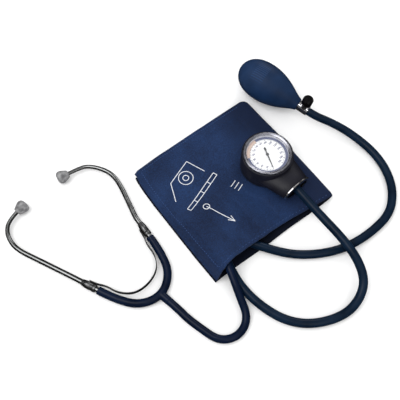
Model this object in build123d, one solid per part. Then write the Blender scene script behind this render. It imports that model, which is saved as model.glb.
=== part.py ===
from build123d import *
import math
import os

# An aneroid sphygmomanometer with its own stethoscope, laid out on a table.
# Millimetres, +Z up. The origin is the centre of the folded cuff's flat underside,
# +X points to the bulb's side and -Y to the edge that the hoses leave.

# Driving dimensions of the folded cuff
cuff_length = 152.0
cuff_width = 144.0
cuff_corner = 10.0
cloth = 2.0
cloth_gap = 3.6
soft_gap = 0.3
under_inset = 1.5
under_back_inset = 5.0
bulge_drop = 2.4
mouth_sag = 6.0
mouth_flat = 8.0
strip_length = 120.0
strip_width = 20.0
strip_inset = 3.0

# Driving dimensions of the bladder
bladder_side_inset = 9.0
bladder_front_inset = 16.0
strip_clearance = 4.0
bladder_height = 3.1
bladder_wall = 0.8
bladder_corner = 12.0
port_overlap = 4.0

# Driving dimensions of the hoses
hose_radius = 4.2
hose_bore = 2.0
scope_tube_radius = 3.75
scope_tube_bore = 1.9
nipple_radius = 1.95
nipple_bore = 1.1
nipple_reach = 7.0
nipple_collar = 3.2

# Driving dimensions of the gauge
gauge_x = 40.6
gauge_y = -4.4
neck_yaw = 5.0
housing_radius = 25.8
housing_round = 2.4
housing_bore = 20.8
housing_floor = 3.0
dial_height = 22.2
lens_above_dial = 2.6
case_above_dial = 3.2
bezel_above_case = 1.5
rim_height = 2.0
rim_wall = 0.9
neck_half_width = 16.2
neck_half_height = 9.8
neck_root_half_width = 24.0
neck_wall = 2.2
neck_reach = 41.5
nipple_seat = 32.0
hose_straight = 14.0
ring_lip = 0.8
ring_length = 1.8
bezel_radius = 24.2
bezel_skirt = 1.0
bezel_window = 21.0
lens_thickness = 1.0
dial_thickness = 0.5
pointer_length = 15.6
pointer_tail = 8.6
pointer_rise = 1.2
pointer_thickness = 0.35
pointer_hub_radius = 1.4
pointer_hub_height = 1.3
arbor_in_hub = 0.7
zero_mark = 24.0
running_gap = 0.05
fit_gap = 0.02

# Driving dimensions of the movement
pinion_teeth = 10
gear_ratio = 8.0
gear_module = 0.3
sector_swing = 40.0
movement_base_height = 12.0
plate = 1.0
movement_screw_length = 5.5
screw_head_height = 0.9
screw_head_radius = 1.7
bridge_height = 17.0
arbor_radius = 0.6
capsule_radius = 14.0
capsule_height = 2.6
capsule_base_height = 1.6
rocker_height = 9.4
rocker_arm = 3.4
rocker_shaft_radius = 0.7

# Driving dimensions of the bulb and its valves
bulb_length = 74.5
bulb_radius = 21.0
bulb_wall = 2.2
bulb_neck_radius = 6.6
bulb_neck_x = 114.3
bulb_neck_y = 29.0
bulb_neck_z = 15.1
bulb_yaw = -72.0
bulb_tilt = 8.0
valve_radius = 5.3
valve_length = 12.0
spigot_length = 14.0
spigot_radius = 4.2
valve_bore = 1.2
screw_place = 6.6
screw_radius = 1.85
screw_in_knob = 3.3
seal_pocket_depth = 2.1
seal_pocket_width = 1.35
seal_height = 1.1
seat_wall = 1.0
boss_radius = 4.2
boss_top = 8.5
gland_radius = 4.7
gland_height = 1.4
knob_clearance = 0.9
knob_radius = 5.6
knob_height = 7.6
knob_grooves = 20
check_disc = 1.0
check_lift = 0.8
check_gap = 0.15
chamber_radius = 3.0
inlet_radius = 4.8
inlet_body_length = 8.0

# Driving dimensions of the headset
headset_x = -122.0
headset_y = -50.0
headset_yaw = 12.4
arm_radius = 3.9
arm_bore = 2.45
ear_tube_radius = 2.4
ear_tube_bore = 1.6
ear_tube_depth = 10.0
ferrule_gap = 3.0
ferrule_length = 15.0
ferrule_radius = 3.7
ferrule_end_radius = 2.9
spring_thickness = 0.8
spring_width = 5.0
spring_reach = 12.0
spring_bend = 4.5
ear_tip_length = 12.0
ear_tip_radius = 6.6
ear_tip_socket = 4.0
stem_length = 10.0
stem_radius = 4.4

# Driving dimensions of the chestpiece
chest_x = -46.0
chest_front_inset = 39.0
chest_radius = 17.0
chest_height = 5.0
chest_wall = 1.6
chest_hollow = 1.6
diaphragm_thickness = 0.4
chest_ring_height = 0.4
stem_pipe_radius = 2.4
stem_pipe_bore = 1.3

# Heights that follow from the sizes above
cuff_height = 2 * cloth + cloth_gap
fold_radius = cuff_height / 2
fold_x = cuff_length / 2 - fold_radius
gauge_z = cuff_height + soft_gap
chest_y = -cuff_width / 2 + chest_front_inset
nipple_height = neck_half_height + ring_lip + 0.1
hose_mouth_z = cloth + soft_gap + hose_radius


def along(x, y, z, yaw, tilt, distance):
    """The point at a distance from a start, in the direction of a yaw and a downward tilt."""
    level = distance * math.cos(math.radians(tilt))
    return (x + level * math.cos(math.radians(yaw)), y + level * math.sin(math.radians(yaw)),
            z - distance * math.sin(math.radians(tilt)))


def from_valve(distance):
    """A point on the valve's axis, measured from the bulb's neck."""
    return along(bulb_neck_x, bulb_neck_y, bulb_neck_z, bulb_yaw, bulb_tilt, distance)


def from_dial(distance):
    """A point on the gauge neck's axis, measured from the dial's axis."""
    return along(gauge_x, gauge_y, gauge_z + nipple_height, neck_yaw - 90, 0, distance)


def from_yoke(distance):
    """A point on the axis of the headset's stem, measured from the yoke."""
    return along(headset_x, headset_y, arm_radius + 0.1, headset_yaw - 90, 0, distance)


# Cord routes, chosen by hand: from the part to its far end
bulb_hose_route = [
    from_valve(valve_length),
    from_valve(valve_length + 9.5),
    (128.6, -4.5, 10.8),
    (136.8, -22.0, 8.2),
    (142.1, -42.1, 5.6),
    (143.6, -62.1, 4.3),
    (138.6, -83.8, 4.3),
    (127.0, -103.4, 4.3),
    (107.3, -118.7, 4.3),
    (80.0, -122.3, 4.3),
    (51.9, -120.2, 4.3),
    (28.7, -112.5, 4.3),
    (4.5, -97.1, 4.3),
    (-13.0, -78.2, hose_mouth_z),
    (-23.5, -61.7, hose_mouth_z),
]
gauge_hose_route = [
    from_dial(nipple_seat),
    from_dial(nipple_seat + hose_straight),
    (43.6, -68.0, 19.4),
    (42.9, -88.0, 20.6),
    (42.9, -106.5, 21.3),
    (41.8, -126.3, 21.0),
    (39.0, -143.2, 16.8),
    (33.1, -155.7, 11.2),
    (21.4, -163.4, 6.8),
    (5.5, -166.4, 4.3),
    (-12.6, -162.5, 4.3),
    (-31.3, -153.1, 4.3),
    (-45.6, -138.1, 4.3),
    (-53.8, -118.6, 4.3),
    (-57.9, -99.0, 5.2),
    (-58.0, -79.6, hose_mouth_z),
    (-53.5, -60.5, hose_mouth_z),
]
scope_tube_route = [
    (-54.9, -59.3, 14.9),
    (-59.6, -73.7, 15.7),
    (-63.8, -87.7, 13.0),
    (-67.1, -99.4, 8.2),
    (-69.7, -110.2, 4.8),
    (-75.4, -117.4, 3.8),
    (-83.4, -121.4, 3.8),
    (-92.4, -121.7, 3.8),
    (-100.9, -118.1, 3.8),
    (-107.0, -111.2, 3.8),
    (-111.3, -98.0, 3.8),
    (-115.7, -83.2, 3.8),
    from_yoke(stem_length + 10),
    from_yoke(stem_length),
]

os.makedirs("parts", exist_ok=True)


def save(name, shape):
    """Write one sub-part to its own file."""
    export_step(shape, "parts/" + name + ".step")


def tube(r_out, r_in, z0, z1):
    """An upright ring from z0 to z1."""
    ring = Pos(0, 0, (z0 + z1) / 2) * Cylinder(r_out, z1 - z0)
    if r_in > 0:
        ring -= Pos(0, 0, (z0 + z1) / 2) * Cylinder(r_in, z1 - z0 + 2)
    return ring


def rod(radius, start, end):
    """A round bar between two points."""
    run = Vector(*end) - Vector(*start)
    plane = Plane(origin=start, z_dir=run.normalized())
    return extrude(plane * Circle(radius), run.length)


def turned(points):
    """A solid turned about Z from (radius, height) points."""
    outline = make_face(Polyline(*points, close=True))
    return revolve(Plane.XZ * outline, Axis.Z)


def block(x0, x1, y0, y1, z0, z1):
    """A block between two corners."""
    centre = Pos((x0 + x1) / 2, (y0 + y1) / 2, (z0 + z1) / 2)
    return centre * Box(x1 - x0, y1 - y0, z1 - z0)


def cord_path(route, name):
    """Straight runs joined by tangent arcs as large as the runs allow."""
    points = [Vector(*p) for p in route]
    radii = []
    for before, here, after in zip(points, points[1:], points[2:]):
        turn = math.radians((here - before).get_angle(after - here))
        short_run = min((here - before).length, (after - here).length)
        radii.append(0.45 * short_run / math.tan(turn / 2))
    print(name, "radii", [round(r) for r in radii])
    return FilletPolyline(*points, radius=radii)


def swept_tube(path, r_out, r_in):
    """A hollow tube along a path of lines and arcs."""
    section = Plane(origin=path @ 0, z_dir=path % 0)
    ring = section * (Circle(r_out) - Circle(r_in))
    return sweep(ring, path=path)


def cord(name, route, r_out, r_in):
    """A hose laid along its route, with its length and volume printed."""
    path = cord_path(route, name)
    solid = swept_tube(path, r_out, r_in)
    expected = math.pi * (r_out ** 2 - r_in ** 2) * path.length
    print(name, "length", round(path.length, 1), "volume ratio", round(solid.volume / expected, 4))
    save(name, solid)


# Folded cuff: two sheets, a bladder and the closing strips
# The outer sheet's raised mouth, as places across the cuff and rises over the sheet
mouth_rise = [(-71.5, 0), (-66.5, 9.2), (-60, 15.4), (-50, 15.4), (-38, 9.8),
              (-28, 8.6), (-19, 6.7), (-8, 3.6), (16, 0)]
# Where the rise is measured along the cuff, and its share there
bulge_shares = [(-cuff_width / 2 - 1, 1.0), (chest_y - 17, 0.96), (chest_y + 19, 0.62), (chest_y + 43, 0.03)]


def bulge(base_z, floor_z):
    """The room that the hoses and the chestpiece lift in the outer sheet."""
    sections = []
    for y, share in bulge_shares:
        outline = [(x, base_z + rise * share) for x, rise in mouth_rise]
        outline += [(mouth_rise[-1][0], floor_z), (mouth_rise[0][0], floor_z)]
        face = make_face(Polyline(*outline, close=True))
        sections.append(Plane(origin=(0, y, 0), x_dir=(1, 0, 0), z_dir=(0, -1, 0)) * face)
    return loft(sections, ruled=True)


def make_cuff_outer_sheet():
    half = cuff_width / 2
    top = block(-cuff_length / 2, fold_x, -half, half, cuff_height - cloth, cuff_height)
    fold_ring = Cylinder(fold_radius, cuff_width) - Cylinder(fold_radius - cloth, cuff_width + 2)
    fold = Pos(fold_x, 0, fold_radius) * Rot(90, 0, 0) * fold_ring
    fold &= block(fold_x, cuff_length / 2 + 1, -half - 1, half + 1, -1, cuff_height + 1)
    sheet = top + fold + bulge(cuff_height, cuff_height - cloth)
    sheet -= bulge(cuff_height - bulge_drop, cuff_height - cloth - 0.7)
    left = (-cuff_length / 2, -half)
    middle = (0, -half + mouth_sag)
    right = (cuff_length / 2 - mouth_flat, -half)
    mouth = ThreePointArc(left, middle, right)
    waste = make_face([mouth, Polyline(right, (right[0], -half - 5), (left[0], -half - 5), left)])
    sheet -= extrude(waste, 10 * cuff_height)
    corner = Pos(cuff_length / 2 - cuff_corner, half - cuff_corner, cuff_height / 2)
    corner_block = block(0, 2 * cuff_corner, 0, 2 * cuff_corner, -cuff_height, cuff_height)
    return sheet - corner * (corner_block - Cylinder(cuff_corner, 3 * cuff_height))


def make_cuff_under_sheet():
    half = cuff_width / 2
    return block(-cuff_length / 2 + under_inset, fold_x, -half, half - under_back_inset, 0, cloth)


strip_back = cuff_width / 2 - under_back_inset - strip_inset
strip_front = strip_back - strip_width
bladder_left = -cuff_length / 2 + bladder_side_inset
bladder_right = fold_x - bladder_side_inset
bladder_front = -cuff_width / 2 + bladder_front_inset
bladder_back = strip_front - strip_clearance
bladder_z = cloth + soft_gap
port_routes = [gauge_hose_route, bulb_hose_route]


def make_bladder():
    bladder_length = bladder_right - bladder_left
    bladder_width = bladder_back - bladder_front
    middle = Pos((bladder_left + bladder_right) / 2, (bladder_front + bladder_back) / 2,
                 bladder_z + bladder_height / 2)
    bag = middle * Box(bladder_length, bladder_width, bladder_height)
    bag = fillet(bag.edges().filter_by(Axis.Z), bladder_corner)
    bag = fillet(bag.edges(), bladder_height / 2 - 0.3)
    air_length = bladder_length - bladder_corner
    air_width = bladder_width - bladder_corner
    air = middle * Box(air_length, air_width, bladder_height - 2 * bladder_wall)
    for route in port_routes:
        mouth = Vector(*route[-1])
        inward = (mouth - Vector(*route[-2])).normalized()
        port_length = (bladder_front + port_overlap - mouth.Y) / inward.Y
        bag += rod(hose_radius, mouth, mouth + inward * port_length)
        air += rod(hose_bore, mouth - inward, mouth + inward * (port_length - 2))
        turn = mouth + inward * (port_length - 3)
        air += rod(1.5, turn, (turn.X, turn.Y, bladder_z + bladder_height / 2))
    return bag - air


def make_closing_strip(z0, z1):
    """One strip of the hook and loop pair that closes the cuff's back edge."""
    return block(-strip_length / 2, strip_length / 2, strip_front, strip_back, z0, z1)


save("cuff_outer_sheet", make_cuff_outer_sheet())
save("cuff_under_sheet", make_cuff_under_sheet())
save("bladder", make_bladder())
strip_middle = cuff_height / 2
save("hook_strip", make_closing_strip(cloth, strip_middle))
save("loop_strip", make_closing_strip(strip_middle, cuff_height - cloth))


# Chestpiece, lying on the bladder under the raised part of the outer sheet
chest_z = bladder_z + bladder_height + soft_gap
diaphragm_z = chest_z + chest_ring_height
diaphragm_top = diaphragm_z + diaphragm_thickness
pipe_end = Vector(*scope_tube_route[0])
pipe_forward = (Vector(*scope_tube_route[1]) - pipe_end).normalized()
pipe_corner = pipe_end - pipe_forward * 9.0
pipe_start = Vector(chest_x - 2.5, chest_y - 8, chest_z + 3.6)


def make_chestpiece():
    body = tube(chest_radius, 0, diaphragm_top, chest_z + chest_height)
    body = chamfer(body.faces().sort_by(Axis.Z)[-1].edges(), 1.0)
    body -= tube(chest_radius - chest_wall, 0, chest_z, diaphragm_top + chest_hollow)
    return body


def make_stem_pipe():
    nipple_end = pipe_end + pipe_forward * nipple_reach
    pipe = rod(stem_pipe_radius, pipe_start, pipe_corner)
    pipe += Pos(*pipe_corner) * Sphere(stem_pipe_radius)
    pipe += rod(stem_pipe_radius, pipe_corner, pipe_end)
    pipe += rod(scope_tube_bore - running_gap, pipe_end, nipple_end)
    pipe -= rod(stem_pipe_bore, pipe_start - Vector(0, 0, 0.5), pipe_corner)
    pipe -= rod(stem_pipe_bore, pipe_corner, nipple_end + pipe_forward)
    return pipe


chest_place = Pos(chest_x, chest_y, 0)
stem_hole = rod(stem_pipe_radius + fit_gap, pipe_start, pipe_corner)
save("chestpiece_body", chest_place * make_chestpiece() - stem_hole)
save("chestpiece_stem", make_stem_pipe())
save("chestpiece_diaphragm", chest_place * tube(chest_radius - 0.4, 0, diaphragm_z, diaphragm_top))
save("chestpiece_ring", chest_place * tube(chest_radius + 0.6, chest_radius - 2.4, chest_z, diaphragm_z))


# Gauge: housing, neck, ring, bezel, lens, dial
gauge_place = Pos(gauge_x, gauge_y, gauge_z)
neck_place = gauge_place * Rot(0, 0, neck_yaw)
lens_height = dial_height + lens_above_dial
housing_top = dial_height + case_above_dial
bezel_top = housing_top + bezel_above_case
rim_radius = bezel_radius - bezel_skirt - running_gap
rim_bore = rim_radius - rim_wall
groove_radius = bezel_radius + running_gap
pointer_zero = neck_yaw - 90 - zero_mark
post_angles = [40, 160, 235]
post_circle = 18.4
post_radius = 2.0
post_screw_radius = 0.8


def neck_section(half_width, half_height, y):
    """An oval across the neck at a distance from the dial's axis."""
    plane = Plane(origin=(0, -y, nipple_height), x_dir=(1, 0, 0), z_dir=(0, -1, 0))
    return plane * Ellipse(half_width, half_height)


def neck_bar(grow, y0, y1):
    """An even oval bar along the neck between two distances from the dial's axis."""
    return extrude(neck_section(neck_half_width + grow, neck_half_height + grow, y0), y1 - y0)


def make_housing():
    rim_top = dial_height + rim_height
    screw_z = movement_base_height + plate - movement_screw_length - 0.5
    shell = turned([
        (0, 0), (housing_radius - housing_round, 0), (housing_radius, housing_round),
        (housing_radius, housing_top - 0.6), (housing_radius - 0.6, housing_top), (0, housing_top)])
    root = neck_section(neck_root_half_width, neck_half_height, 8)
    mouth = neck_section(neck_half_width, neck_half_height, neck_reach)
    shell += loft([root, mouth], ruled=True)
    shell -= turned([
        (0, housing_floor), (housing_bore, housing_floor), (housing_bore, dial_height),
        (rim_bore, dial_height), (rim_bore, rim_top), (rim_radius, rim_top), (rim_radius, dial_height),
        (groove_radius, dial_height), (groove_radius, housing_top + 1), (0, housing_top + 1)])
    shell -= neck_bar(-neck_wall, housing_radius + 1, neck_reach + 1)
    shell -= rod(nipple_radius + fit_gap, (0, -housing_bore + 1, nipple_height),
                 (0, -housing_radius - 2, nipple_height))
    for angle in post_angles:
        place = Rot(0, 0, angle - neck_yaw) * Pos(post_circle, 0, 0)
        shell += place * tube(post_radius, 0, housing_floor - 0.5, movement_base_height)
        shell -= place * tube(post_screw_radius + fit_gap, 0, screw_z, movement_base_height + 1)
    return shell


def make_neck_ring():
    ring = neck_bar(ring_lip, neck_reach, neck_reach + ring_length)
    ring -= neck_bar(-neck_wall, neck_reach - 1, neck_reach + ring_length + 1)
    return ring


def make_bezel():
    skirt_bore = bezel_radius - bezel_skirt
    lens_top = lens_height + lens_thickness
    return turned([
        (skirt_bore, dial_height + 0.2), (bezel_radius, dial_height + 0.2),
        (bezel_radius, bezel_top - 1.0), (bezel_radius - 0.6, bezel_top - 0.2),
        (bezel_radius - 1.2, bezel_top), (bezel_radius - 2.0, bezel_top),
        (bezel_window, lens_top + 0.4), (bezel_window, lens_top), (skirt_bore, lens_top)])


save("gauge_housing", neck_place * make_housing())
save("gauge_neck_ring", neck_place * make_neck_ring())
save("gauge_bezel", gauge_place * make_bezel())
lens_radius = bezel_radius - bezel_skirt - 0.1
dial_radius = rim_bore - 0.1
dial_top = dial_height + dial_thickness
save("gauge_lens", gauge_place * tube(lens_radius, 0, lens_height, lens_height + lens_thickness))
save("dial_spacer", gauge_place * tube(dial_radius, bezel_window - 0.3, dial_top, lens_height))
save("gauge_dial", gauge_place * tube(dial_radius, 2 * arbor_radius, dial_height, dial_top))


# Movement: gear sizes and places
pinion_radius = gear_module * pinion_teeth / 2
sector_radius = pinion_radius * gear_ratio
centre_distance = pinion_radius + sector_radius
tail_radius = 3.0
tail_pin_radius = 0.5
tail_pin_gap = 0.3
arm_half = 0.5
half_swing = math.radians(sector_swing / 2)
sector_x = rocker_arm + arm_half + tail_pin_gap + tail_pin_radius + tail_radius * math.sin(half_swing)
sector_y = -math.sqrt(centre_distance ** 2 - sector_x ** 2)
mesh_angle = math.degrees(math.atan2(-sector_y, -sector_x))
sector_z0 = movement_base_height + plate + 1.2
sector_z1 = sector_z0 + plate
sector_pitch = 360.0 / (pinion_teeth * gear_ratio)
pillar_places = [(4, 14), (-13, -4), (13.5, -9)]
pillar_radius = 1.6


def polar(radius, degrees):
    return (radius * math.cos(math.radians(degrees)), radius * math.sin(math.radians(degrees)))


def make_sector():
    """Toothed sector with its arbor and the tail pin that the rocker pushes."""
    addendum = 0.75 * gear_module
    dedendum = 1.1 * gear_module
    first = -sector_swing / sector_pitch - 2
    count = int(sector_swing / sector_pitch) + 5
    points = [(0, 0)]
    for i in range(count):
        middle = mesh_angle + (int(first) + i - 0.5) * sector_pitch
        points.append(polar(sector_radius - dedendum, middle - 1.3))
        points.append(polar(sector_radius + addendum, middle - 0.6))
        points.append(polar(sector_radius + addendum, middle + 0.6))
        points.append(polar(sector_radius - dedendum, middle + 1.3))
    blade = extrude(make_face(Polyline(*points, close=True)), sector_z1 - sector_z0)
    sector = Pos(0, 0, sector_z0) * blade
    sector += tube(1.9, 0, sector_z0, sector_z1)
    tail_angle = -90 - sector_swing / 2
    tail_end = polar(tail_radius, tail_angle)
    tail = Rot(0, 0, tail_angle) * block(0, tail_radius, -0.8, 0.8, sector_z0, sector_z1)
    sector += tail + Pos(*tail_end, 0) * tube(0.8, 0, sector_z0, sector_z1)
    sector += Pos(*tail_end, 0) * tube(tail_pin_radius, 0, sector_z0 - 1.1, sector_z0 + 0.1)
    sector += tube(arbor_radius, 0, movement_base_height + 0.2, bridge_height + plate - 0.2)
    return Pos(sector_x, sector_y, 0) * sector


hand_z = dial_height + pointer_rise
hub_z = hand_z - 0.3


def make_pinion():
    """Pinion and the long arbor that carries the pointer."""
    points = []
    pitch = 360.0 / pinion_teeth
    toward_sector = mesh_angle + 180
    for i in range(pinion_teeth):
        middle = toward_sector + i * pitch
        points.append(polar(0.72 * pinion_radius, middle - 11))
        points.append(polar(1.13 * pinion_radius, middle - 4))
        points.append(polar(1.13 * pinion_radius, middle + 4))
        points.append(polar(0.72 * pinion_radius, middle + 11))
    leaves = extrude(make_face(Polyline(*points, close=True)), plate + 1.0)
    arbor = Pos(0, 0, sector_z0 - 0.5) * leaves
    return arbor + tube(arbor_radius, 0, movement_base_height + 0.2, hub_z + arbor_in_hub)


def make_pointer():
    """Thin hand with a long point, a weighted tail and a round hub."""
    hand = make_face(Polyline((0, -0.55), (pointer_length, -0.12), (pointer_length, 0.12), (0, 0.55),
                              (-pointer_tail + 1.5, 0.35), (-pointer_tail, 0.95), (-pointer_tail, -0.95),
                              (-pointer_tail + 1.5, -0.35), close=True))
    pointer = Pos(0, 0, hand_z) * extrude(Rot(0, 0, pointer_zero) * hand, pointer_thickness)
    pointer += tube(pointer_hub_radius, 0, hub_z, hub_z + pointer_hub_height)
    return pointer - tube(arbor_radius + fit_gap, 0, hub_z - 1, hub_z + arbor_in_hub)


def make_hairspring():
    """Flat spiral that takes up the play in the teeth, with its collet and its stud."""
    turns = 3
    steps = 20
    inner, outer, ribbon = 1.05, 5.2, 0.22
    stud_x, stud_y = pillar_places[0]
    stud_angle = math.degrees(math.atan2(stud_y, stud_x))
    spiral = []
    for i in range(turns * steps + 1):
        radius = inner + (outer - inner) * i / (turns * steps)
        spiral.append((radius, stud_angle + 360.0 * i / steps))
    points = [polar(r - ribbon / 2, a) for r, a in spiral]
    points += [polar(r + ribbon / 2, a) for r, a in reversed(spiral)]
    z0 = bridge_height - 0.9
    z1 = bridge_height - 0.4
    spring = Pos(0, 0, z0) * extrude(make_face(Polyline(*points, close=True)), z1 - z0)
    spring += tube(1.15, arbor_radius + fit_gap, z0, z1)
    return spring + Pos(*polar(outer, stud_angle), 0) * tube(0.4, 0, z0, bridge_height - 0.02)


rocker_pad_y = 0.0
rocker_push_y = sector_y - tail_radius * math.cos(half_swing / 2)
rocker_tip_z = sector_z0 - 0.2
lug_places = [rocker_pad_y + 2.2, rocker_push_y - 2.6]
lug_thickness = 1.2


def make_rocker():
    """Rocking shaft with one arm over the capsule and one that pushes the sector's tail."""
    shaft = rod(rocker_shaft_radius, (rocker_arm, lug_places[1] - lug_thickness / 2 + 0.1, rocker_height),
                (rocker_arm, lug_places[0] + lug_thickness / 2 - 0.1, rocker_height))
    low_arm = block(-1.2, rocker_arm, rocker_pad_y - 0.8, rocker_pad_y + 0.8,
                    rocker_height - arm_half, rocker_height + arm_half)
    high_arm = block(rocker_arm - arm_half, rocker_arm + arm_half, rocker_push_y - 0.7, rocker_push_y + 0.7,
                     rocker_height, rocker_tip_z)
    return shaft + low_arm + high_arm


def make_movement_base():
    """Lower plate with the two lugs that carry the rocking shaft."""
    top = movement_base_height + plate
    base = tube(housing_bore - 1.0, 0, movement_base_height, top)
    base -= block(rocker_arm - 1.0, rocker_arm + 3.4, rocker_push_y - 1.1, rocker_push_y + 1.1,
                  movement_base_height - 1, top + 1)
    for y in lug_places:
        base += block(rocker_arm - 1.5, rocker_arm + 1.5, y - lug_thickness / 2, y + lug_thickness / 2,
                      rocker_height - 1.2, movement_base_height + 0.2)
        base -= rod(rocker_shaft_radius + running_gap, (rocker_arm, y - 1, rocker_height),
                    (rocker_arm, y + 1, rocker_height))
    arbor_hole = tube(arbor_radius + running_gap, 0, movement_base_height - 1, top + 1)
    base -= arbor_hole
    base -= Pos(sector_x, sector_y, 0) * arbor_hole
    for angle in post_angles:
        base -= Pos(*polar(post_circle, angle), 0) * tube(post_screw_radius + fit_gap, 0,
                                                        movement_base_height - 1, top + 1)
    return base


def make_movement_bridge():
    """Star-shaped upper plate on three pillars."""
    pivots = pillar_places + [(sector_x, sector_y)]
    star = Circle(3.0)
    for x, y in pivots:
        reach = math.hypot(x, y)
        bar = Pos(x / 2, y / 2) * Rot(0, 0, math.degrees(math.atan2(y, x))) * Rectangle(reach, 4.4)
        star += bar + Pos(x, y) * Circle(2.4)
    star -= Circle(arbor_radius + running_gap)
    star -= Pos(sector_x, sector_y) * Circle(arbor_radius + running_gap)
    return Pos(0, 0, bridge_height) * extrude(star, plate)


def make_movement_pillars():
    return [Pos(x, y, 0) * tube(pillar_radius, 0, movement_base_height + plate, bridge_height)
            for x, y in pillar_places]


def make_movement_screws():
    screws = []
    head_z = movement_base_height + plate
    for angle in post_angles:
        screw = tube(screw_head_radius, 0, head_z, head_z + screw_head_height)
        screw += tube(post_screw_radius, 0, head_z - movement_screw_length, head_z)
        screw -= block(-2, 2, -0.2, 0.2, head_z + screw_head_height / 2, head_z + 2)
        screws.append(Pos(*polar(post_circle, angle), 0) * screw)
    return screws


def make_capsule():
    """Two thin corrugated discs joined at the rim, with air between them."""
    middle = housing_floor + capsule_base_height + capsule_height / 2
    rise = capsule_height / 2
    ripple = 0.3
    wall = 0.3
    waves = 8
    top = [(0, middle + rise)]
    for i in range(1, waves + 1):
        radius = 2.6 + (capsule_radius - 5.0) * i / waves
        top.append((radius, middle + rise - (ripple if i % 2 else 0)))
    rim = [(capsule_radius, middle + 0.25), (capsule_radius, middle - 0.25)]
    bottom = [(r, 2 * middle - z) for r, z in reversed(top)]
    shell = turned(top + rim + bottom)
    air_half = rise - ripple - wall
    flat = capsule_radius - 3.4
    air = turned([(0, middle + air_half), (flat, middle + air_half), (capsule_radius - 1.6, middle),
                  (flat, middle - air_half), (0, middle - air_half)])
    return shell - air


capsule_top = housing_floor + capsule_base_height + capsule_height
pipe_radius = 0.55
pipe_turn_y = -housing_bore + 1.6
pipe_low_z = housing_floor + pipe_radius + 0.1


def make_push_pin():
    foot = tube(1.8, 0, capsule_top, capsule_top + 0.6)
    return foot + tube(0.6, 0, capsule_top + 0.5, rocker_height - 0.8)


def make_capsule_base():
    base = tube(3.6, 0, housing_floor, housing_floor + capsule_base_height)
    base -= rod(pipe_radius + fit_gap, (0, -5, pipe_low_z), (0, -1.5, pipe_low_z))
    return base


def make_inlet_pipe():
    """Thin brass pipe from the nipple down to the capsule's base."""
    pipe = rod(pipe_radius, (0, -1.6, pipe_low_z), (0, pipe_turn_y, pipe_low_z))
    pipe += Pos(0, pipe_turn_y, pipe_low_z) * Sphere(pipe_radius)
    pipe += rod(pipe_radius, (0, pipe_turn_y, pipe_low_z), (0, pipe_turn_y, nipple_height))
    pipe += Pos(0, pipe_turn_y, nipple_height) * Sphere(pipe_radius)
    pipe += rod(pipe_radius, (0, pipe_turn_y, nipple_height), (0, -housing_bore + 0.5, nipple_height))
    return pipe


def make_gauge_nipple():
    """Brass nipple pushed through the housing wall into the hose's bore."""
    hose_end = -nipple_seat
    tip = hose_end - nipple_reach
    nipple = rod(nipple_radius, (0, -housing_bore + 0.5, nipple_height), (0, tip, nipple_height))
    nipple += rod(nipple_collar, (0, -housing_radius - 1.0, nipple_height), (0, hose_end, nipple_height))
    nipple -= rod(nipple_bore, (0, -housing_bore - 1, nipple_height), (0, tip - 1, nipple_height))
    return nipple


save("gauge_nipple", neck_place * make_gauge_nipple())
save("inlet_pipe", neck_place * make_inlet_pipe())
save("capsule_base", neck_place * make_capsule_base())
save("pressure_capsule", gauge_place * make_capsule())
save("capsule_push_pin", gauge_place * make_push_pin())
save("rocker_arm", gauge_place * make_rocker())
save("sector_gear", gauge_place * make_sector())
save("pinion_arbor", gauge_place * make_pinion())
save("gauge_pointer", gauge_place * make_pointer())
save("hairspring", gauge_place * make_hairspring())
save("movement_base", gauge_place * make_movement_base())
save("movement_bridge", gauge_place * make_movement_bridge())
save("movement_pillars", Compound(children=[gauge_place * p for p in make_movement_pillars()]))
save("movement_screws", Compound(children=[gauge_place * s for s in make_movement_screws()]))


# Bulb and valves: made along +X, from the bulb's closed end to the hose, then placed
bulb_place = Pos(bulb_neck_x, bulb_neck_y, bulb_neck_z) * Rot(0, 0, bulb_yaw) * Rot(0, bulb_tilt, 0)
seat_top = valve_bore + seat_wall
screw_top = boss_top + gland_height + knob_clearance + screw_in_knob


def ring_x(r_out, r_in, x0, x1):
    """A ring about X from x0 to x1."""
    return Rot(0, 90, 0) * tube(r_out, r_in, x0, x1)


def bulb_outline(wall):
    """Egg-shaped outline, as shares of length and radius less the wall."""
    shares = [(-0.988, 0.30), (-0.95, 0.55), (-0.86, 0.81), (-0.72, 0.965), (-0.575, 1.0), (-0.425, 0.92),
              (-0.285, 0.76), (-0.195, 0.62), (-0.12, 0.47), (-0.05, 0.355)]
    return [(x * bulb_length + (wall if x < -0.9 else 0), r * bulb_radius - wall) for x, r in shares]


def make_bulb():
    outer = bulb_outline(0)
    inner = bulb_outline(bulb_wall)
    skin = Spline(*outer)
    neck = Polyline(outer[-1], (-1.0, bulb_neck_radius), (0, bulb_neck_radius - 0.4), (0, 0),
                    (-bulb_length, 0), (-bulb_length, outer[0][1] - 0.4), outer[0])
    egg = revolve(make_face([skin, neck]), Axis.X)
    hollow_line = Spline(*inner)
    ends = Polyline(inner[-1], (inner[-1][0], 0), (inner[0][0], 0), inner[0])
    egg -= revolve(make_face([hollow_line, ends]), Axis.X)
    egg -= ring_x(spigot_radius + fit_gap, 0, -spigot_length - 4, 1)
    egg -= ring_x(inlet_radius + fit_gap, 0, -bulb_length - 1, -bulb_length + inlet_body_length)
    return egg


chamber_length = check_disc + check_lift + 2 * check_gap
seat_x = -9.0


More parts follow.
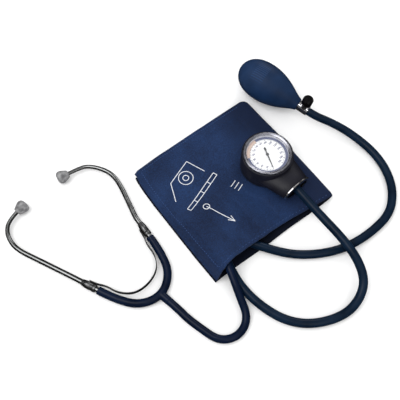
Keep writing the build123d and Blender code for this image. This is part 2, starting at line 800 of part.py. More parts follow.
def make_valve_body():
    """Spigot in the bulb, barrel with the screw's boss, and the hose nipple."""
    body = ring_x(spigot_radius, 0, -spigot_length, 0.5)
    body += ring_x(valve_radius, 0, 0, valve_length)
    body += ring_x(nipple_radius, 0, valve_length - 0.5, valve_length + nipple_reach)
    body += Pos(screw_place, 0, 0) * tube(boss_radius, 0, 0, boss_top)
    body -= ring_x(chamber_radius, 0, -spigot_length - 1, seat_x + chamber_length)
    body -= ring_x(valve_bore, 0, seat_x, valve_length + nipple_reach + 1)
    body -= Pos(screw_place, 0, 0) * tube(0.7, 0, 0, seat_top + 0.1)
    body -= Pos(screw_place, 0, 0) * tube(screw_radius + running_gap, 0, seat_top, boss_top + 1)
    pocket_radius = screw_radius + seal_pocket_width
    body -= Pos(screw_place, 0, 0) * tube(pocket_radius, 0, boss_top - seal_pocket_depth, boss_top + 1)
    body -= rod(0.8, (screw_place, 0, 4.4), (screw_place, 8, 4.4))
    return body


def make_release_screw():
    return Pos(screw_place, 0, 0) * turned([
        (0, seat_top + 0.1), (0.5, seat_top + 0.1), (screw_radius, seat_top + 1.4),
        (screw_radius, screw_top), (0, screw_top)])


def make_knob():
    knob_z = boss_top + gland_height + knob_clearance
    knob = tube(knob_radius, 0, knob_z, knob_z + knob_height)
    knob = chamfer(knob.faces().sort_by(Axis.Z)[-1].edges(), 0.8)
    groove = Pos(knob_radius + 0.25, 0, knob_z + knob_height / 2) * Cylinder(0.6, knob_height + 1)
    for i in range(knob_grooves):
        knob -= Rot(0, 0, 360.0 * i / knob_grooves) * groove
    knob -= tube(screw_radius + fit_gap, 0, knob_z - 1, screw_top)
    return Pos(screw_place, 0, 0) * knob


def make_gland():
    gland = tube(gland_radius, screw_radius + running_gap, boss_top, boss_top + gland_height)
    return Pos(screw_place, 0, 0) * gland


def make_seal():
    low = boss_top - seal_pocket_depth + 0.1
    seal_radius = screw_radius + seal_pocket_width - 0.1
    return Pos(screw_place, 0, 0) * tube(seal_radius, screw_radius + running_gap, low, low + seal_height)


def make_outlet_seat():
    return ring_x(chamber_radius - fit_gap, valve_bore, -spigot_length, seat_x)


def make_outlet_disc():
    start = seat_x + check_gap
    return ring_x(chamber_radius - 0.3, 0, start, start + check_disc)


inlet_face = -bulb_length + 0.1
inlet_chamber_x = inlet_face + 2.6


def make_inlet_body():
    body = ring_x(inlet_radius, 0, inlet_face, inlet_face + inlet_body_length)
    body -= ring_x(chamber_radius, 0, inlet_face - 1, inlet_chamber_x + chamber_length)
    body -= ring_x(valve_bore, 0, inlet_face, inlet_face + inlet_body_length + 1)
    return body


def make_inlet_disc():
    start = inlet_chamber_x + check_gap
    return ring_x(chamber_radius - 0.3, 0, start, start + check_disc)


def make_inlet_cap():
    return ring_x(chamber_radius - fit_gap, valve_bore, inlet_face, inlet_chamber_x)


save("bulb", bulb_place * make_bulb())
save("valve_body", bulb_place * make_valve_body())
save("release_screw", bulb_place * make_release_screw())
save("release_knob", bulb_place * make_knob())
save("gland_nut", bulb_place * make_gland())
save("stem_seal", bulb_place * make_seal())
save("outlet_valve_seat", bulb_place * make_outlet_seat())
save("outlet_valve_disc", bulb_place * make_outlet_disc())
save("inlet_valve_body", bulb_place * make_inlet_body())
save("inlet_valve_disc", bulb_place * make_inlet_disc())
save("inlet_valve_cap", bulb_place * make_inlet_cap())


# Headset: made with +Y up its axis of symmetry, then turned into place
headset_place = Pos(headset_x, headset_y, 0) * Rot(0, 0, headset_yaw)
arm_z = arm_radius + 0.1
arm_points = [(35.2, 46.8), (31.3, 30.5), (20.8, 8.3), (0.0, -1.5)]
spring_points = [(27.4, 44.3), (25.0, 31.0), (15.5, 19.0), (0, 15.5)]
arm_end = Vector(*arm_points[0], arm_z)
arm_direction = (arm_end - Vector(*arm_points[1], arm_z)).normalized()
arm_inward = Vector(-arm_direction.Y, arm_direction.X, 0)
# Each ear tube lies turned a little differently, as it was put down
ear_points = {
    "left": [(-51.6, 112.3, 4.1), (-56.7, 131.0, 4.5), (-57.1, 143.0, 4.9), (-52.6, 155.5, 5.4),
             (-42.5, 163.6, 6.0), (-27.5, 164.0, 6.7)],
    "right": [(46.6, 84.0, 4.0), (59.8, 114.5, 4.3), (60.2, 131.0, 4.8), (51.5, 149.0, 5.4),
              (40.8, 154.3, 6.0), (27.5, 158.2, 6.7)],
}
ear_straight = 8.0


def mirrored(points):
    return [(-x, y, z) for x, y, z in points]


def arc_path(points, kept_straight=0.0):
    """A path of runs and arcs through points, its first run straight for a given length."""
    vectors = [Vector(*p) for p in points]
    radii = []
    kept = kept_straight
    for before, here, after in zip(vectors, vectors[1:], vectors[2:]):
        turn = math.radians((here - before).get_angle(after - here))
        short_run = min((here - before).length - kept, (after - here).length)
        radii.append(0.45 * short_run / math.tan(turn / 2))
        kept = 0.0
    return FilletPolyline(*vectors, radius=radii)


def make_y_tube():
    """Rubber Y: two arms in a U and a stem that takes the stethoscope's tube."""
    right = [(x, y, arm_z) for x, y in arm_points]
    path = arc_path(mirrored(right) + right[-2::-1])
    stem_start = (0, 0, arm_z)
    stem_end = (0, -stem_length, arm_z)
    solid = sweep(Plane(origin=path @ 0, z_dir=path % 0) * Circle(arm_radius), path=path)
    solid += rod(stem_radius - 0.5, stem_start, stem_end)
    bore = sweep(Plane(origin=path @ 0, z_dir=path % 0) * Circle(arm_bore), path=path)
    bore += rod(scope_tube_bore, stem_start, (0, -stem_length - 1, arm_z))
    return solid - bore


def make_ear_tube(side_name, side):
    start = arm_end - arm_direction * ear_tube_depth
    leaving = arm_end + arm_direction * (ferrule_gap + ferrule_length + ear_straight)
    first = [(side * start.X, start.Y, start.Z), (side * leaving.X, leaving.Y, leaving.Z)]
    kept = ear_tube_depth + ferrule_gap + ferrule_length + 1
    return swept_tube(arc_path(first + ear_points[side_name], kept), ear_tube_radius, ear_tube_bore)


def make_ferrule(side):
    start = arm_end + arm_direction * ferrule_gap
    ferrule = turned([
        (ear_tube_radius + fit_gap, 0), (ferrule_radius, 0), (ferrule_radius, ferrule_length * 0.7),
        (ferrule_end_radius, ferrule_length), (ear_tube_radius + fit_gap, ferrule_length)])
    direction = Vector(side * arm_direction.X, arm_direction.Y, 0)
    plane = Plane(origin=(side * start.X, start.Y, start.Z), z_dir=direction)
    return plane.location * ferrule


def make_ear_tip(side_name):
    """Soft olive, wide towards the ear, on the end of its tube."""
    last = Vector(*ear_points[side_name][-1])
    direction = (last - Vector(*ear_points[side_name][-2])).normalized()
    start = last - direction * ear_tip_socket
    wide = ear_tip_radius
    long = ear_tip_length
    tip = turned([
        (ear_tube_radius + fit_gap, 0), (0.56 * wide, 0), (0.70 * wide, 0.14 * long),
        (0.92 * wide, 0.44 * long), (wide, 0.64 * long), (0.96 * wide, 0.80 * long),
        (0.74 * wide, 0.94 * long), (0.4 * wide, long), (ear_tube_bore, long),
        (ear_tube_bore, ear_tip_socket), (ear_tube_radius + fit_gap, ear_tip_socket)])
    return Plane(origin=start, z_dir=direction).location * tip


def make_leaf_spring():
    """Flat steel U on edge, its ends lying along the two ferrules."""
    offset = ferrule_radius + 0.15 + spring_thickness / 2
    outer = arm_end + arm_direction * spring_reach + arm_inward * offset
    inner = arm_end + arm_direction * spring_bend + arm_inward * (offset + 0.05)
    right = [(outer.X, outer.Y, 0), (inner.X, inner.Y, 0)] + [(x, y, 0) for x, y in spring_points]
    path = arc_path(mirrored(right) + right[-2::-1])
    ribbon = trace(path, line_width=spring_thickness)
    return Pos(0, 0, arm_z - spring_width / 2) * extrude(ribbon, spring_width)


save("y_tube", headset_place * make_y_tube())
save("leaf_spring", headset_place * make_leaf_spring())
for side_name, side in [("left", -1), ("right", 1)]:
    save("ear_tube_" + side_name, headset_place * make_ear_tube(side_name, side))
    save("ferrule_" + side_name, headset_place * make_ferrule(side))
    save("ear_tip_" + side_name, headset_place * make_ear_tip(side_name))


# Free hoses and the stethoscope's tube
cord("bulb_hose", bulb_hose_route, hose_radius, hose_bore)
cord("gauge_hose", gauge_hose_route, hose_radius, hose_bore)
cord("stethoscope_tube", scope_tube_route, scope_tube_radius, scope_tube_bore)
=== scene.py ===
import math

import bpy
from bpy.props import FloatProperty, FloatVectorProperty, IntProperty, PointerProperty
from mathutils import Matrix, Vector, noise


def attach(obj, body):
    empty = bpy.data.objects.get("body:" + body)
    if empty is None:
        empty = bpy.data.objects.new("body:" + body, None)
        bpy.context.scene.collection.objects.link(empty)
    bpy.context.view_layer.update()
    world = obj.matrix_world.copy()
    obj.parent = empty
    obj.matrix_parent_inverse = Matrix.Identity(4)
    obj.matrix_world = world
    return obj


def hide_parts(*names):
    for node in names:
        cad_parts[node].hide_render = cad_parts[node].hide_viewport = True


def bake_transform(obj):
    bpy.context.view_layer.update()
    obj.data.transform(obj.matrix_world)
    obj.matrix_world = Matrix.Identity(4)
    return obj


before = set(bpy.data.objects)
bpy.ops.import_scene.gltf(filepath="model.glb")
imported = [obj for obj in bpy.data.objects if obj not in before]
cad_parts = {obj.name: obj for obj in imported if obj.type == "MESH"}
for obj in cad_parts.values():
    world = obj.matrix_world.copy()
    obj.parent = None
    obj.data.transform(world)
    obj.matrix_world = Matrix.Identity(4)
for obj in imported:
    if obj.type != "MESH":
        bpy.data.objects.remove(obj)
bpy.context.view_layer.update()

bl_info = {
    "name": "Aneroid Sphygmomanometer",
    "version": (1, 0, 0),
    "blender": (4, 5, 0),
    "location": "3D View > Sidebar > Pressure Set",
    "description": "Dresses a packed blood pressure set: cuff, gauge, bulb, hoses and stethoscope",
    "category": "Add Mesh",
}

MM = 0.001
# Sides of a turned or oval piece, where it isn't given its own number
SIDES = 96

# Places of the main parts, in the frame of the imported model
GAUGE_SPOT = (40.6, -4.4, 7.9)
GAUGE_AXIS = Vector(GAUGE_SPOT) * MM
NECK_YAW = math.radians(5.0)
NIPPLE_HEIGHT = 10.7
BULB_NECK = Vector((114.3, 29.0, 15.1)) * MM
BULB_YAW = math.radians(-72.0)
BULB_TILT = math.radians(8.0)
YOKE = Vector((-122.0, -50.0, 0.0)) * MM
YOKE_YAW = math.radians(12.4)
ARM_HEIGHT = 4.0
CUFF_TOP = 7.6

GAUGE_PLACE = Matrix.Translation(GAUGE_AXIS)
NECK_PLACE = GAUGE_PLACE @ Matrix.Rotation(NECK_YAW, 4, "Z")
BULB_PLACE = (Matrix.Translation(BULB_NECK) @ Matrix.Rotation(BULB_YAW, 4, "Z")
              @ Matrix.Rotation(BULB_TILT, 4, "Y"))
BULB_LATHE = BULB_PLACE @ Matrix.Rotation(math.radians(90), 4, "Y")
YOKE_TURN = Matrix.Translation(YOKE) @ Matrix.Rotation(YOKE_YAW, 4, "Z")

# Routes of the three cords, in millimetres
BULB_HOSE = [
    (117.97, 17.70, 13.43), (120.88, 8.75, 12.11), (128.6, -4.5, 10.8), (136.8, -22.0, 8.2),
    (142.1, -42.1, 5.6), (143.6, -62.1, 4.3), (138.6, -83.8, 4.3), (127.0, -103.4, 4.3),
    (107.3, -118.7, 4.3), (80.0, -122.3, 4.3), (51.9, -120.2, 4.3), (28.7, -112.5, 4.3),
    (4.5, -97.1, 4.3), (-13.0, -78.2, 6.5), (-23.5, -61.7, 6.5),
]
GAUGE_HOSE = [
    (43.39, -36.28, 18.6), (44.61, -50.22, 18.6), (43.6, -68.0, 19.4), (42.9, -88.0, 20.6),
    (42.9, -106.5, 21.3), (41.8, -126.3, 21.0), (39.0, -143.2, 16.8), (33.1, -155.7, 11.2),
    (21.4, -163.4, 6.8), (5.5, -166.4, 4.3), (-12.6, -162.5, 4.3), (-31.3, -153.1, 4.3),
    (-45.6, -138.1, 4.3), (-53.8, -118.6, 4.3), (-57.9, -99.0, 5.2), (-58.0, -79.6, 6.5),
    (-53.5, -60.5, 6.5),
]
SCOPE_TUBE = [
    (-54.9, -59.3, 14.9), (-59.6, -73.7, 15.7), (-63.8, -87.7, 13.0), (-67.1, -99.4, 8.2),
    (-69.7, -110.2, 4.8), (-75.4, -117.4, 3.8), (-83.4, -121.4, 3.8), (-92.4, -121.7, 3.8),
    (-100.9, -118.1, 3.8), (-107.0, -111.2, 3.8), (-111.3, -98.0, 3.8), (-115.7, -83.2, 3.8),
    (-117.71, -69.53, 4.0), (-119.85, -59.77, 4.0),
]

# Headset, in millimetres in its own frame, +Y up its axis of symmetry
ARM_POINTS = [(35.2, 46.8), (31.3, 30.5), (20.8, 8.3), (0.0, -1.5)]
ARM_RADIUS = 3.9
STEM_RADIUS = 3.95
FERRULE_RADIUS = 3.7
LEAF_THICK = 0.8
LEAF_WIDTH = 5.0
LEAF_GAP = 0.15
EAR_POINTS = {
    "left": [(-51.6, 112.3, 4.1), (-56.7, 131.0, 4.5), (-57.1, 143.0, 4.9), (-52.6, 155.5, 5.4),
             (-42.5, 163.6, 6.0), (-27.5, 164.0, 6.7)],
    "right": [(46.6, 84.0, 4.0), (59.8, 114.5, 4.3), (60.2, 131.0, 4.8), (51.5, 149.0, 5.4),
              (40.8, 154.3, 6.0), (27.5, 158.2, 6.7)],
}
HALVES = (("left", -1), ("right", 1))

# Case and neck of the gauge, in millimetres from its axis and from its foot
CASE_RADIUS = 25.8
CASE_BORE = 20.8
CASE_FLOOR = 3
CASE_TOP = 25.4
DIAL_SEAT = 22.2
NECK_END = 41.5
NECK_HOLE = (14.0, 7.6)

# The dial, in millimetres, with its first number's angle past the neck in degrees
SCALE_START = 24.0
DIAL_TOP = 22.73
POINTER_HEIGHT = 23.55
NUMBER_RING = 13.9
TICK_RING = 17.5
WARM_RING = 17.0
SLATE_RING = 17.9
WARM_ZONE = (90, 152)

# The camera as it was fitted to the photograph, in millimetres
CAMERA_PLACE = (-181.7, -189.1, 505.1)
CAMERA_TARGET = (-33.6, 7.8, 0.0)


class StageValues(bpy.types.PropertyGroup):
    floor_size: FloatProperty(name="Floor size", description="Side of the pale floor",
                              default=6.0, unit="LENGTH")
    lens: FloatProperty(name="Lens", description="Focal length of the camera in millimetres", default=50.0)
    key_power: FloatProperty(name="Key light", description="Power of the large soft light", default=4.6)
    rim_power: FloatProperty(name="Rim light", description="Power of the light from the far right",
                             default=1.7)
    sky: FloatProperty(name="Sky", description="Strength of the even light all round", default=0.95)


class CuffValues(bpy.types.PropertyGroup):
    cloth: FloatProperty(name="Cloth", description="Thickness of one wall of the cuff",
                         default=0.0018, unit="LENGTH")
    thread: FloatProperty(name="Weave", description="Distance between the threads of the weave",
                          default=0.0007, unit="LENGTH")
    # light and dark are lit and shaded copies of the navy; the cloth is mixed between them by random tone and
    # by painted shade towards the fold.
    light: FloatVectorProperty(name="Cloth in the light", description="Colour of the cloth's crowns",
                               subtype="COLOR", size=3, default=(0.017, 0.045, 0.135), min=0, max=1)
    dark: FloatVectorProperty(name="Cloth in the dark", description="Colour of the cloth's hollows",
                              subtype="COLOR", size=3, default=(0.0065, 0.0135, 0.041), min=0, max=1)


class HoseValues(bpy.types.PropertyGroup):
    hose: FloatProperty(name="Hose", description="Diameter of the two hoses", default=0.0084, unit="LENGTH")
    scope: FloatProperty(name="Stethoscope tube", description="Diameter of the stethoscope's tube",
                         default=0.0075, unit="LENGTH")
    rubber: FloatVectorProperty(name="Hose rubber", description="Colour of the hoses",
                                subtype="COLOR", size=3, default=(0.0022, 0.0100, 0.025), min=0, max=1)
    scope_rubber: FloatVectorProperty(name="Stethoscope rubber",
                                      description="Colour of the stethoscope's tube and rubber Y",
                                      subtype="COLOR", size=3, default=(0.0011, 0.0055, 0.0205), min=0, max=1)


class GaugeValues(bpy.types.PropertyGroup):
    scale_end: IntProperty(name="Last number", description="Highest number on the dial", default=300)
    scale_turn: FloatProperty(name="Scale sweep", description="Angle from the first number to the last",
                              subtype="ANGLE", default=math.radians(320))
    number_size: FloatProperty(name="Number size", description="Height of the dial's numbers",
                               default=0.0027, unit="LENGTH")


class BulbValues(bpy.types.PropertyGroup):
    length: FloatProperty(name="Length", description="Bulb from end to neck", default=0.0745, unit="LENGTH")
    radius: FloatProperty(name="Radius", description="Bulb at its widest", default=0.021, unit="LENGTH")
    rubber: FloatVectorProperty(name="Bulb rubber", description="Colour of the bulb",
                                subtype="COLOR", size=3, default=(0.006, 0.022, 0.066), min=0, max=1)


class HeadsetValues(bpy.types.PropertyGroup):
    tube_start: FloatProperty(name="Tube at ferrule", description="Ear tube's radius near the rubber",
                              default=0.0025, unit="LENGTH")
    tube_end: FloatProperty(name="Tube at ear", description="Ear tube's radius at the ear tip",
                            default=0.0019, unit="LENGTH")
    tip_radius: FloatProperty(name="Ear tip radius", description="Ear tip at its widest",
                              default=0.0066, unit="LENGTH")
    tip_length: FloatProperty(name="Ear tip length", description="Ear tip from end to end",
                              default=0.012, unit="LENGTH")


# Materials
class Value:
    """A number, colour or vector inside a finish, so that sums are written as plain expressions."""

    def __init__(self, finish, socket):
        self.finish = finish
        self.socket = socket

    def maths(self, operation, first, second):
        return self.finish.node("ShaderNodeMath", {"operation": operation}, {0: first, 1: second})

    def __add__(self, other):
        return self.maths("ADD", self, other)

    def __sub__(self, other):
        return self.maths("SUBTRACT", self, other)

    def __mul__(self, other):
        return self.maths("MULTIPLY", self, other)

    def __pow__(self, other):
        return self.maths("POWER", self, other)

    def __gt__(self, other):
        return self.maths("GREATER_THAN", self, other)

    def __lt__(self, other):
        return self.maths("LESS_THAN", self, other)

    def __rsub__(self, other):
        return self.maths("SUBTRACT", other, self)


class Finish:
    """A material whose detail is worked out from the place on the piece."""

    def __init__(self, name, **constants):
        self.material = bpy.data.materials.new(name)
        self.material.use_nodes = True
        self.tree = self.material.node_tree
        self.shader = self.tree.nodes["Principled BSDF"]
        self.paint(**constants)
        self.spot = self.node("ShaderNodeTexCoord", {}, {}, "Object")

    def node(self, kind, settings, sockets, output=0):
        """Adds one node: its settings first, then the values or links of its sockets."""
        made = self.tree.nodes.new(kind)
        for setting, value in settings.items():
            setattr(made, setting, value)
        for socket, value in sockets.items():
            if isinstance(value, Value):
                self.tree.links.new(value.socket, made.inputs[socket])
            else:
                made.inputs[socket].default_value = value
        return Value(self, made.outputs[output])

    def noise(self, scale, detail=2.0, roughness=0.5):
        """An uneven value between 0 and 1."""
        return self.node("ShaderNodeTexNoise", {}, {
            "Vector": self.spot, "Scale": scale, "Detail": detail, "Roughness": roughness})

    def mix(self, first, second, share):
        """A colour between two colours."""
        pair = {}
        for socket, colour in ((6, first), (7, second)):
            pair[socket] = colour if isinstance(colour, Value) else (*tuple(colour)[:3], 1.0)
        return self.node("ShaderNodeMix", {"data_type": "RGBA"}, {0: share, **pair}, 2)

    def stretch(self, value, low, high, new_low=0.0, new_high=1.0):
        """Maps a value from one range to another and keeps it inside."""
        return self.node("ShaderNodeMapRange", {}, {
            0: value, 1: low, 2: high, 3: new_low, 4: new_high})

    def spread(self, value, new_low=0.0, new_high=1.0):
        """Maps the usual range of a noise to a new range."""
        return self.stretch(value, 0.3, 0.7, new_low, new_high)

    def parts(self, vector=None):
        """The three numbers of a place."""
        split = self.node("ShaderNodeSeparateXYZ", {}, {0: vector or self.spot})
        outputs = split.socket.node.outputs
        return [Value(self, outputs[i]) for i in range(3)]

    def wave(self, value, pitch):
        """A sine wave along a value."""
        turns = value * (2 * math.pi / pitch)
        return self.node("ShaderNodeMath", {"operation": "SINE"}, {0: turns})

    def paint(self, **sockets):
        """Feeds the shader's sockets with values or links."""
        for socket, value in sockets.items():
            target = self.shader.inputs[socket.replace("_", " ")]
            if isinstance(value, Value):
                self.tree.links.new(value.socket, target)
            else:
                target.default_value = value

    def relief(self, height, distance, strength):
        """Feeds the shader's normal from a height between 0 and 1."""
        bump = self.node("ShaderNodeBump", {}, {
            "Height": height, "Distance": distance, "Strength": strength}, "Normal")
        self.paint(Normal=bump)


def shade(colour, factor):
    """A colour made darker or lighter."""
    return tuple(min(1.0, c * factor) for c in tuple(colour)[:3])


def make_woven(name, light, dark, pitch):
    """Woven nylon: fine threads both ways, slow changes of tone, painted shade that darkens it towards the
    fold, and a dry sheen.
    """
    finish = Finish(name, Sheen_Weight=0.04, Sheen_Roughness=0.45, Specular_IOR_Level=0.12)
    flat = finish.node("ShaderNodeUVMap", {"uv_map": "cloth"}, {})
    along, across, _ = finish.parts(flat)
    warp = finish.wave(along, pitch)
    weft = finish.wave(across, pitch)
    weave = warp * weft * 0.5 + 0.5
    slow = finish.noise(22.0, 3.0)
    fine = finish.noise(900.0, 2.0)
    # Painted shade: the cloth darkens towards the fold, where the light falls off.
    fold_shade_painted = finish.stretch(along, 0.100, 0.140, 1.0, 0.12)
    tone = finish.stretch(slow * 0.5 + fine * 0.5, 0.36, 0.64) * fold_shade_painted
    colour = finish.mix(dark, light, tone)
    threads = finish.mix(shade(dark, 0.7), colour, finish.stretch(weave, 0.0, 0.7, 0.35, 1.0))
    finish.paint(Base_Color=threads, Roughness=finish.spread(fine, 0.62, 0.82))
    finish.relief(weave * 0.7 + fine * 0.3, 0.00022, 0.6)
    return finish.material


def make_rubber(name, colour, gloss):
    """Extruded rubber: smooth, a little cloudy, with fine dust."""
    finish = Finish(name, Specular_IOR_Level=0.14, Coat_Roughness=0.14)
    cloud = finish.noise(60.0, 3.0)
    dust = finish.noise(2600.0, 3.0, 0.7)
    colour_now = finish.mix(shade(colour, 0.72), shade(colour, 1.4), finish.spread(cloud))
    specks = finish.stretch(dust, 0.66, 0.74)
    finish.paint(
        Base_Color=finish.mix(colour_now, shade(colour, 2.2), specks * 0.2),
        Roughness=finish.spread(cloud * 0.6 + dust * 0.4, gloss - 0.06, gloss + 0.12),
        Coat_Weight=finish.spread(cloud, 0.02, 0.07))
    finish.relief(dust, 0.00005, 0.5)
    return finish.material


def make_chrome(name, tint, rough, grain=0.4):
    """Polished plating with faint polishing marks and a few fingerprints."""
    finish = Finish(name, Metallic=1.0)
    marks = finish.noise(1400.0, 4.0, 0.7)
    prints = finish.noise(110.0, 4.0, 0.6)
    finish.paint(
        Base_Color=finish.mix(shade(tint, 0.86), shade(tint, 1.08), finish.stretch(prints, 0.35, 0.65)),
        Roughness=finish.stretch(prints * 0.6 + marks * 0.4, 0.35, 0.65, rough * 0.6, rough * 1.7))
    finish.relief(marks, 0.00001, grain)
    return finish.material


def make_plastic(name, colour, rough):
    """Moulded plastic with a fine spark-eroded grain."""
    finish = Finish(name, Specular_IOR_Level=0.3)
    cells = finish.noise(2400.0, 3.0, 0.6)
    cloud = finish.noise(70.0, 2.0)
    finish.paint(
        Base_Color=finish.mix(shade(colour, 0.8), shade(colour, 1.25), finish.spread(cloud)),
        Roughness=finish.spread(cells * 0.5 + cloud * 0.5, rough - 0.08, rough + 0.1))
    finish.relief(cells, 0.00006, 0.7)
    return finish.material


def make_turned_metal(name, colour, rough=0.28):
    """Machined brass or steel with fine tool marks."""
    finish = Finish(name, Metallic=1.0)
    marks = finish.noise(3200.0, 2.0)
    tarnish = finish.noise(160.0, 4.0, 0.6)
    finish.paint(
        Base_Color=finish.mix(shade(colour, 0.6), colour, finish.stretch(tarnish, 0.3, 0.6)),
        Roughness=finish.spread(marks * 0.4 + tarnish * 0.6, rough - 0.08, rough + 0.16))
    finish.relief(marks, 0.00002, 0.5)
    return finish.material


def make_tip_rubber():
    """Soft clear grey rubber of the ear tips."""
    finish = Finish("ear_tip_rubber", Subsurface_Weight=0.25, Subsurface_Scale=0.003,
                    Subsurface_Radius=(1.0, 0.95, 0.9), Specular_IOR_Level=0.5)
    cloud = finish.noise(240.0, 3.0)
    grain = finish.noise(3000.0, 2.0)
    finish.paint(
        Base_Color=finish.mix((0.12, 0.12, 0.125), (0.28, 0.28, 0.285), finish.stretch(cloud, 0.35, 0.65)),
        Roughness=finish.spread(grain, 0.3, 0.5))
    finish.relief(grain, 0.00003, 0.6)
    return finish.material


def make_dial_paint(values):
    """White dial with a slate ring and a warm zone printed round its edge."""
    finish = Finish("dial_paint", Specular_IOR_Level=0.3)
    x, y, _ = finish.parts()
    east = x - GAUGE_AXIS.x
    north = y - GAUGE_AXIS.y
    distance = (east * east + north * north) ** 0.5
    angle = finish.node("ShaderNodeMath", {"operation": "ARCTAN2"}, {0: north, 1: east})
    ink = finish.noise(1800.0, 2.0)
    high, low = [math.remainder(dial_angle(values, number), math.tau) for number in WARM_ZONE]
    warm = (angle > low) * (angle < high)
    ring = distance > SLATE_RING * MM
    inner = distance > WARM_RING * MM
    paper = finish.mix((0.86, 0.87, 0.90), (0.93, 0.93, 0.93), finish.spread(ink))
    slate = finish.mix((0.045, 0.055, 0.13), (0.10, 0.12, 0.24), ink)
    salmon = finish.mix((0.50, 0.36, 0.29), (0.68, 0.52, 0.43), ink)
    printed = finish.mix(paper, slate, ring * (1.0 - warm))
    printed = finish.mix(printed, salmon, inner * warm)
    finish.paint(Base_Color=printed, Roughness=finish.spread(ink, 0.4, 0.6))
    finish.relief(ink, 0.00001, 0.3)
    return finish.material


def make_glass():
    """Clear flat window: mostly see-through, with its own gloss."""
    finish = Finish("window_glass", Specular_IOR_Level=0.3)
    smear = finish.noise(90.0, 4.0, 0.6)
    finish.paint(
        Base_Color=(0.95, 0.97, 1.0, 1.0),
        Roughness=finish.stretch(smear, 0.35, 0.65, 0.02, 0.09),
        Alpha=finish.stretch(smear, 0.35, 0.65, 0.03, 0.06))
    return finish.material


def make_ink(name, colour):
    """Printed or painted marks with slightly uneven cover."""
    finish = Finish(name, Specular_IOR_Level=0.3)
    cover = finish.noise(1500.0, 3.0, 0.6)
    finish.paint(
        Base_Color=finish.mix(shade(colour, 0.82), colour, finish.stretch(cover, 0.35, 0.6)),
        Roughness=finish.spread(cover, 0.45, 0.7))
    finish.relief(cover, 0.00002, 0.4)
    return finish.material


def make_bulb_rubber(colour):
    """Moulded rubber with a band of fine ribs near the bulb's closed end, whose crests are painted lighter on
    the bulb's upper half as a painted highlight.
    """
    finish = Finish("bulb_rubber", Specular_IOR_Level=0.18)
    turn = finish.node("ShaderNodeMapping", {"vector_type": "TEXTURE"}, {
        "Vector": finish.spot, "Location": BULB_NECK, "Rotation": BULB_PLACE.to_euler()})
    along, side, rise = finish.parts(turn)
    cloud = finish.noise(45.0, 3.0)
    grain = finish.noise(1900.0, 3.0, 0.6)
    band = finish.stretch(along, -58 * MM, -57 * MM) * finish.stretch(along, -43 * MM, -44 * MM)
    front = finish.stretch(side, 6 * MM, 4 * MM) * finish.stretch(side, -15 * MM, -13 * MM)
    ribs = finish.stretch(finish.wave(side, 2.1 * MM), 0.1, 0.7) * band * front
    base = finish.mix(shade(colour, 0.75), shade(colour, 1.25), finish.spread(cloud))
    # Painted highlight: the ribs' crests are painted lighter on the upper half only, where light falls; their
    # relief is real.
    finish.paint(
        Base_Color=finish.mix(base, shade(colour, 2.2), ribs * 0.6 * (rise > 0.0)),
        Roughness=finish.spread(grain * 0.5 + cloud * 0.5, 0.40, 0.56))
    finish.relief(grain * 0.25 + ribs * 0.75, 0.0003, 0.7)
    return finish.material


def make_knob_black():
    """Black painted metal, its paint rubbed through a little here and there."""
    finish = Finish("knob_black", Specular_IOR_Level=0.22)
    wear = finish.noise(700.0, 4.0, 0.65)
    bare = finish.stretch(wear, 0.62, 0.7)
    finish.paint(
        Base_Color=finish.mix((0.002, 0.002, 0.0025), (0.10, 0.10, 0.105), bare * 0.5),
        Metallic=bare * 0.8,
        Roughness=finish.spread(wear, 0.14, 0.26))
    finish.relief(wear, 0.00003, 0.4)
    return finish.material


def make_woven_tape():
    """Hook and loop tape: a dense field of tiny loops."""
    finish = Finish("closing_tape", Sheen_Weight=0.4)
    loops = finish.node("ShaderNodeTexVoronoi", {}, {"Vector": finish.spot, "Scale": 1500.0})
    cloud = finish.noise(90.0, 2.0)
    finish.paint(
        Base_Color=finish.mix((0.006, 0.006, 0.01), (0.03, 0.03, 0.045), finish.stretch(loops, 0.0, 0.6)),
        Roughness=finish.spread(cloud, 0.75, 0.95))
    finish.relief(loops, 0.0004, 0.8)
    return finish.material


def make_floor_paint():
    """Pale matt floor with a faint haze."""
    finish = Finish("pale_floor", Specular_IOR_Level=0.1)
    haze = finish.noise(3.0, 2.0)
    finish.paint(Base_Color=finish.mix((0.93, 0.93, 0.93), (0.96, 0.96, 0.96), haze), Roughness=0.9)
    return finish.material


# Modelling
def deselect():
    """Leaves edit mode and selects nothing."""
    if bpy.context.mode != "OBJECT":
        bpy.ops.object.mode_set(mode="OBJECT")
    bpy.ops.object.select_all(action="DESELECT")


def choose(*objects):
    """Selects just these objects, the first one active."""
    deselect()
    for one in objects:
        one.select_set(True)
    bpy.context.view_layer.objects.active = objects[0]


def rename(piece, name):
    """Names an object and its mesh or curve."""
    piece.name = name
    piece.data.name = name


def add_object(name, mesh):
    """Puts a mesh in the scene as an object of its own."""
    piece = bpy.data.objects.new(name, mesh)
    bpy.context.scene.collection.objects.link(piece)
    return piece


def edit(piece):
    """Opens a piece in edit mode with all of it selected."""
    choose(piece)
    bpy.ops.object.mode_set(mode="EDIT")
    bpy.ops.mesh.select_all(action="SELECT")


def close_edit():
    """Goes back to object mode."""
    bpy.ops.object.mode_set(mode="OBJECT")


def pick(piece, test):
    """Selects the vertices of a piece that a test on their place accepts."""
    close_edit()
    mesh = piece.data
    for group in (mesh.vertices, mesh.edges, mesh.polygons):
        group.foreach_set("select", [False] * len(group))
    for vertex in mesh.vertices:
        vertex.select = bool(test(vertex.co))
    bpy.ops.object.mode_set(mode="EDIT")
    bpy.ops.mesh.select_mode(type="VERT")


def tidy_mesh(piece):
    """Merges doubles and turns all faces outwards."""
    edit(piece)
    bpy.ops.mesh.remove_doubles(threshold=1e-6)
    bpy.ops.mesh.normals_make_consistent(inside=False)
    close_edit()


def settle(piece, place=None):
    """Puts a piece where it belongs and keeps its place in its mesh."""
    if place is not None:
        piece.matrix_world = place @ piece.matrix_world
    choose(piece)
    bpy.ops.object.transform_apply(location=True, rotation=True, scale=True)


def smooth(piece, angle=38.0):
    """Shades a piece smooth, but for edges sharper than an angle."""
    choose(piece)
    bpy.ops.object.shade_smooth_by_angle(angle=math.radians(angle))


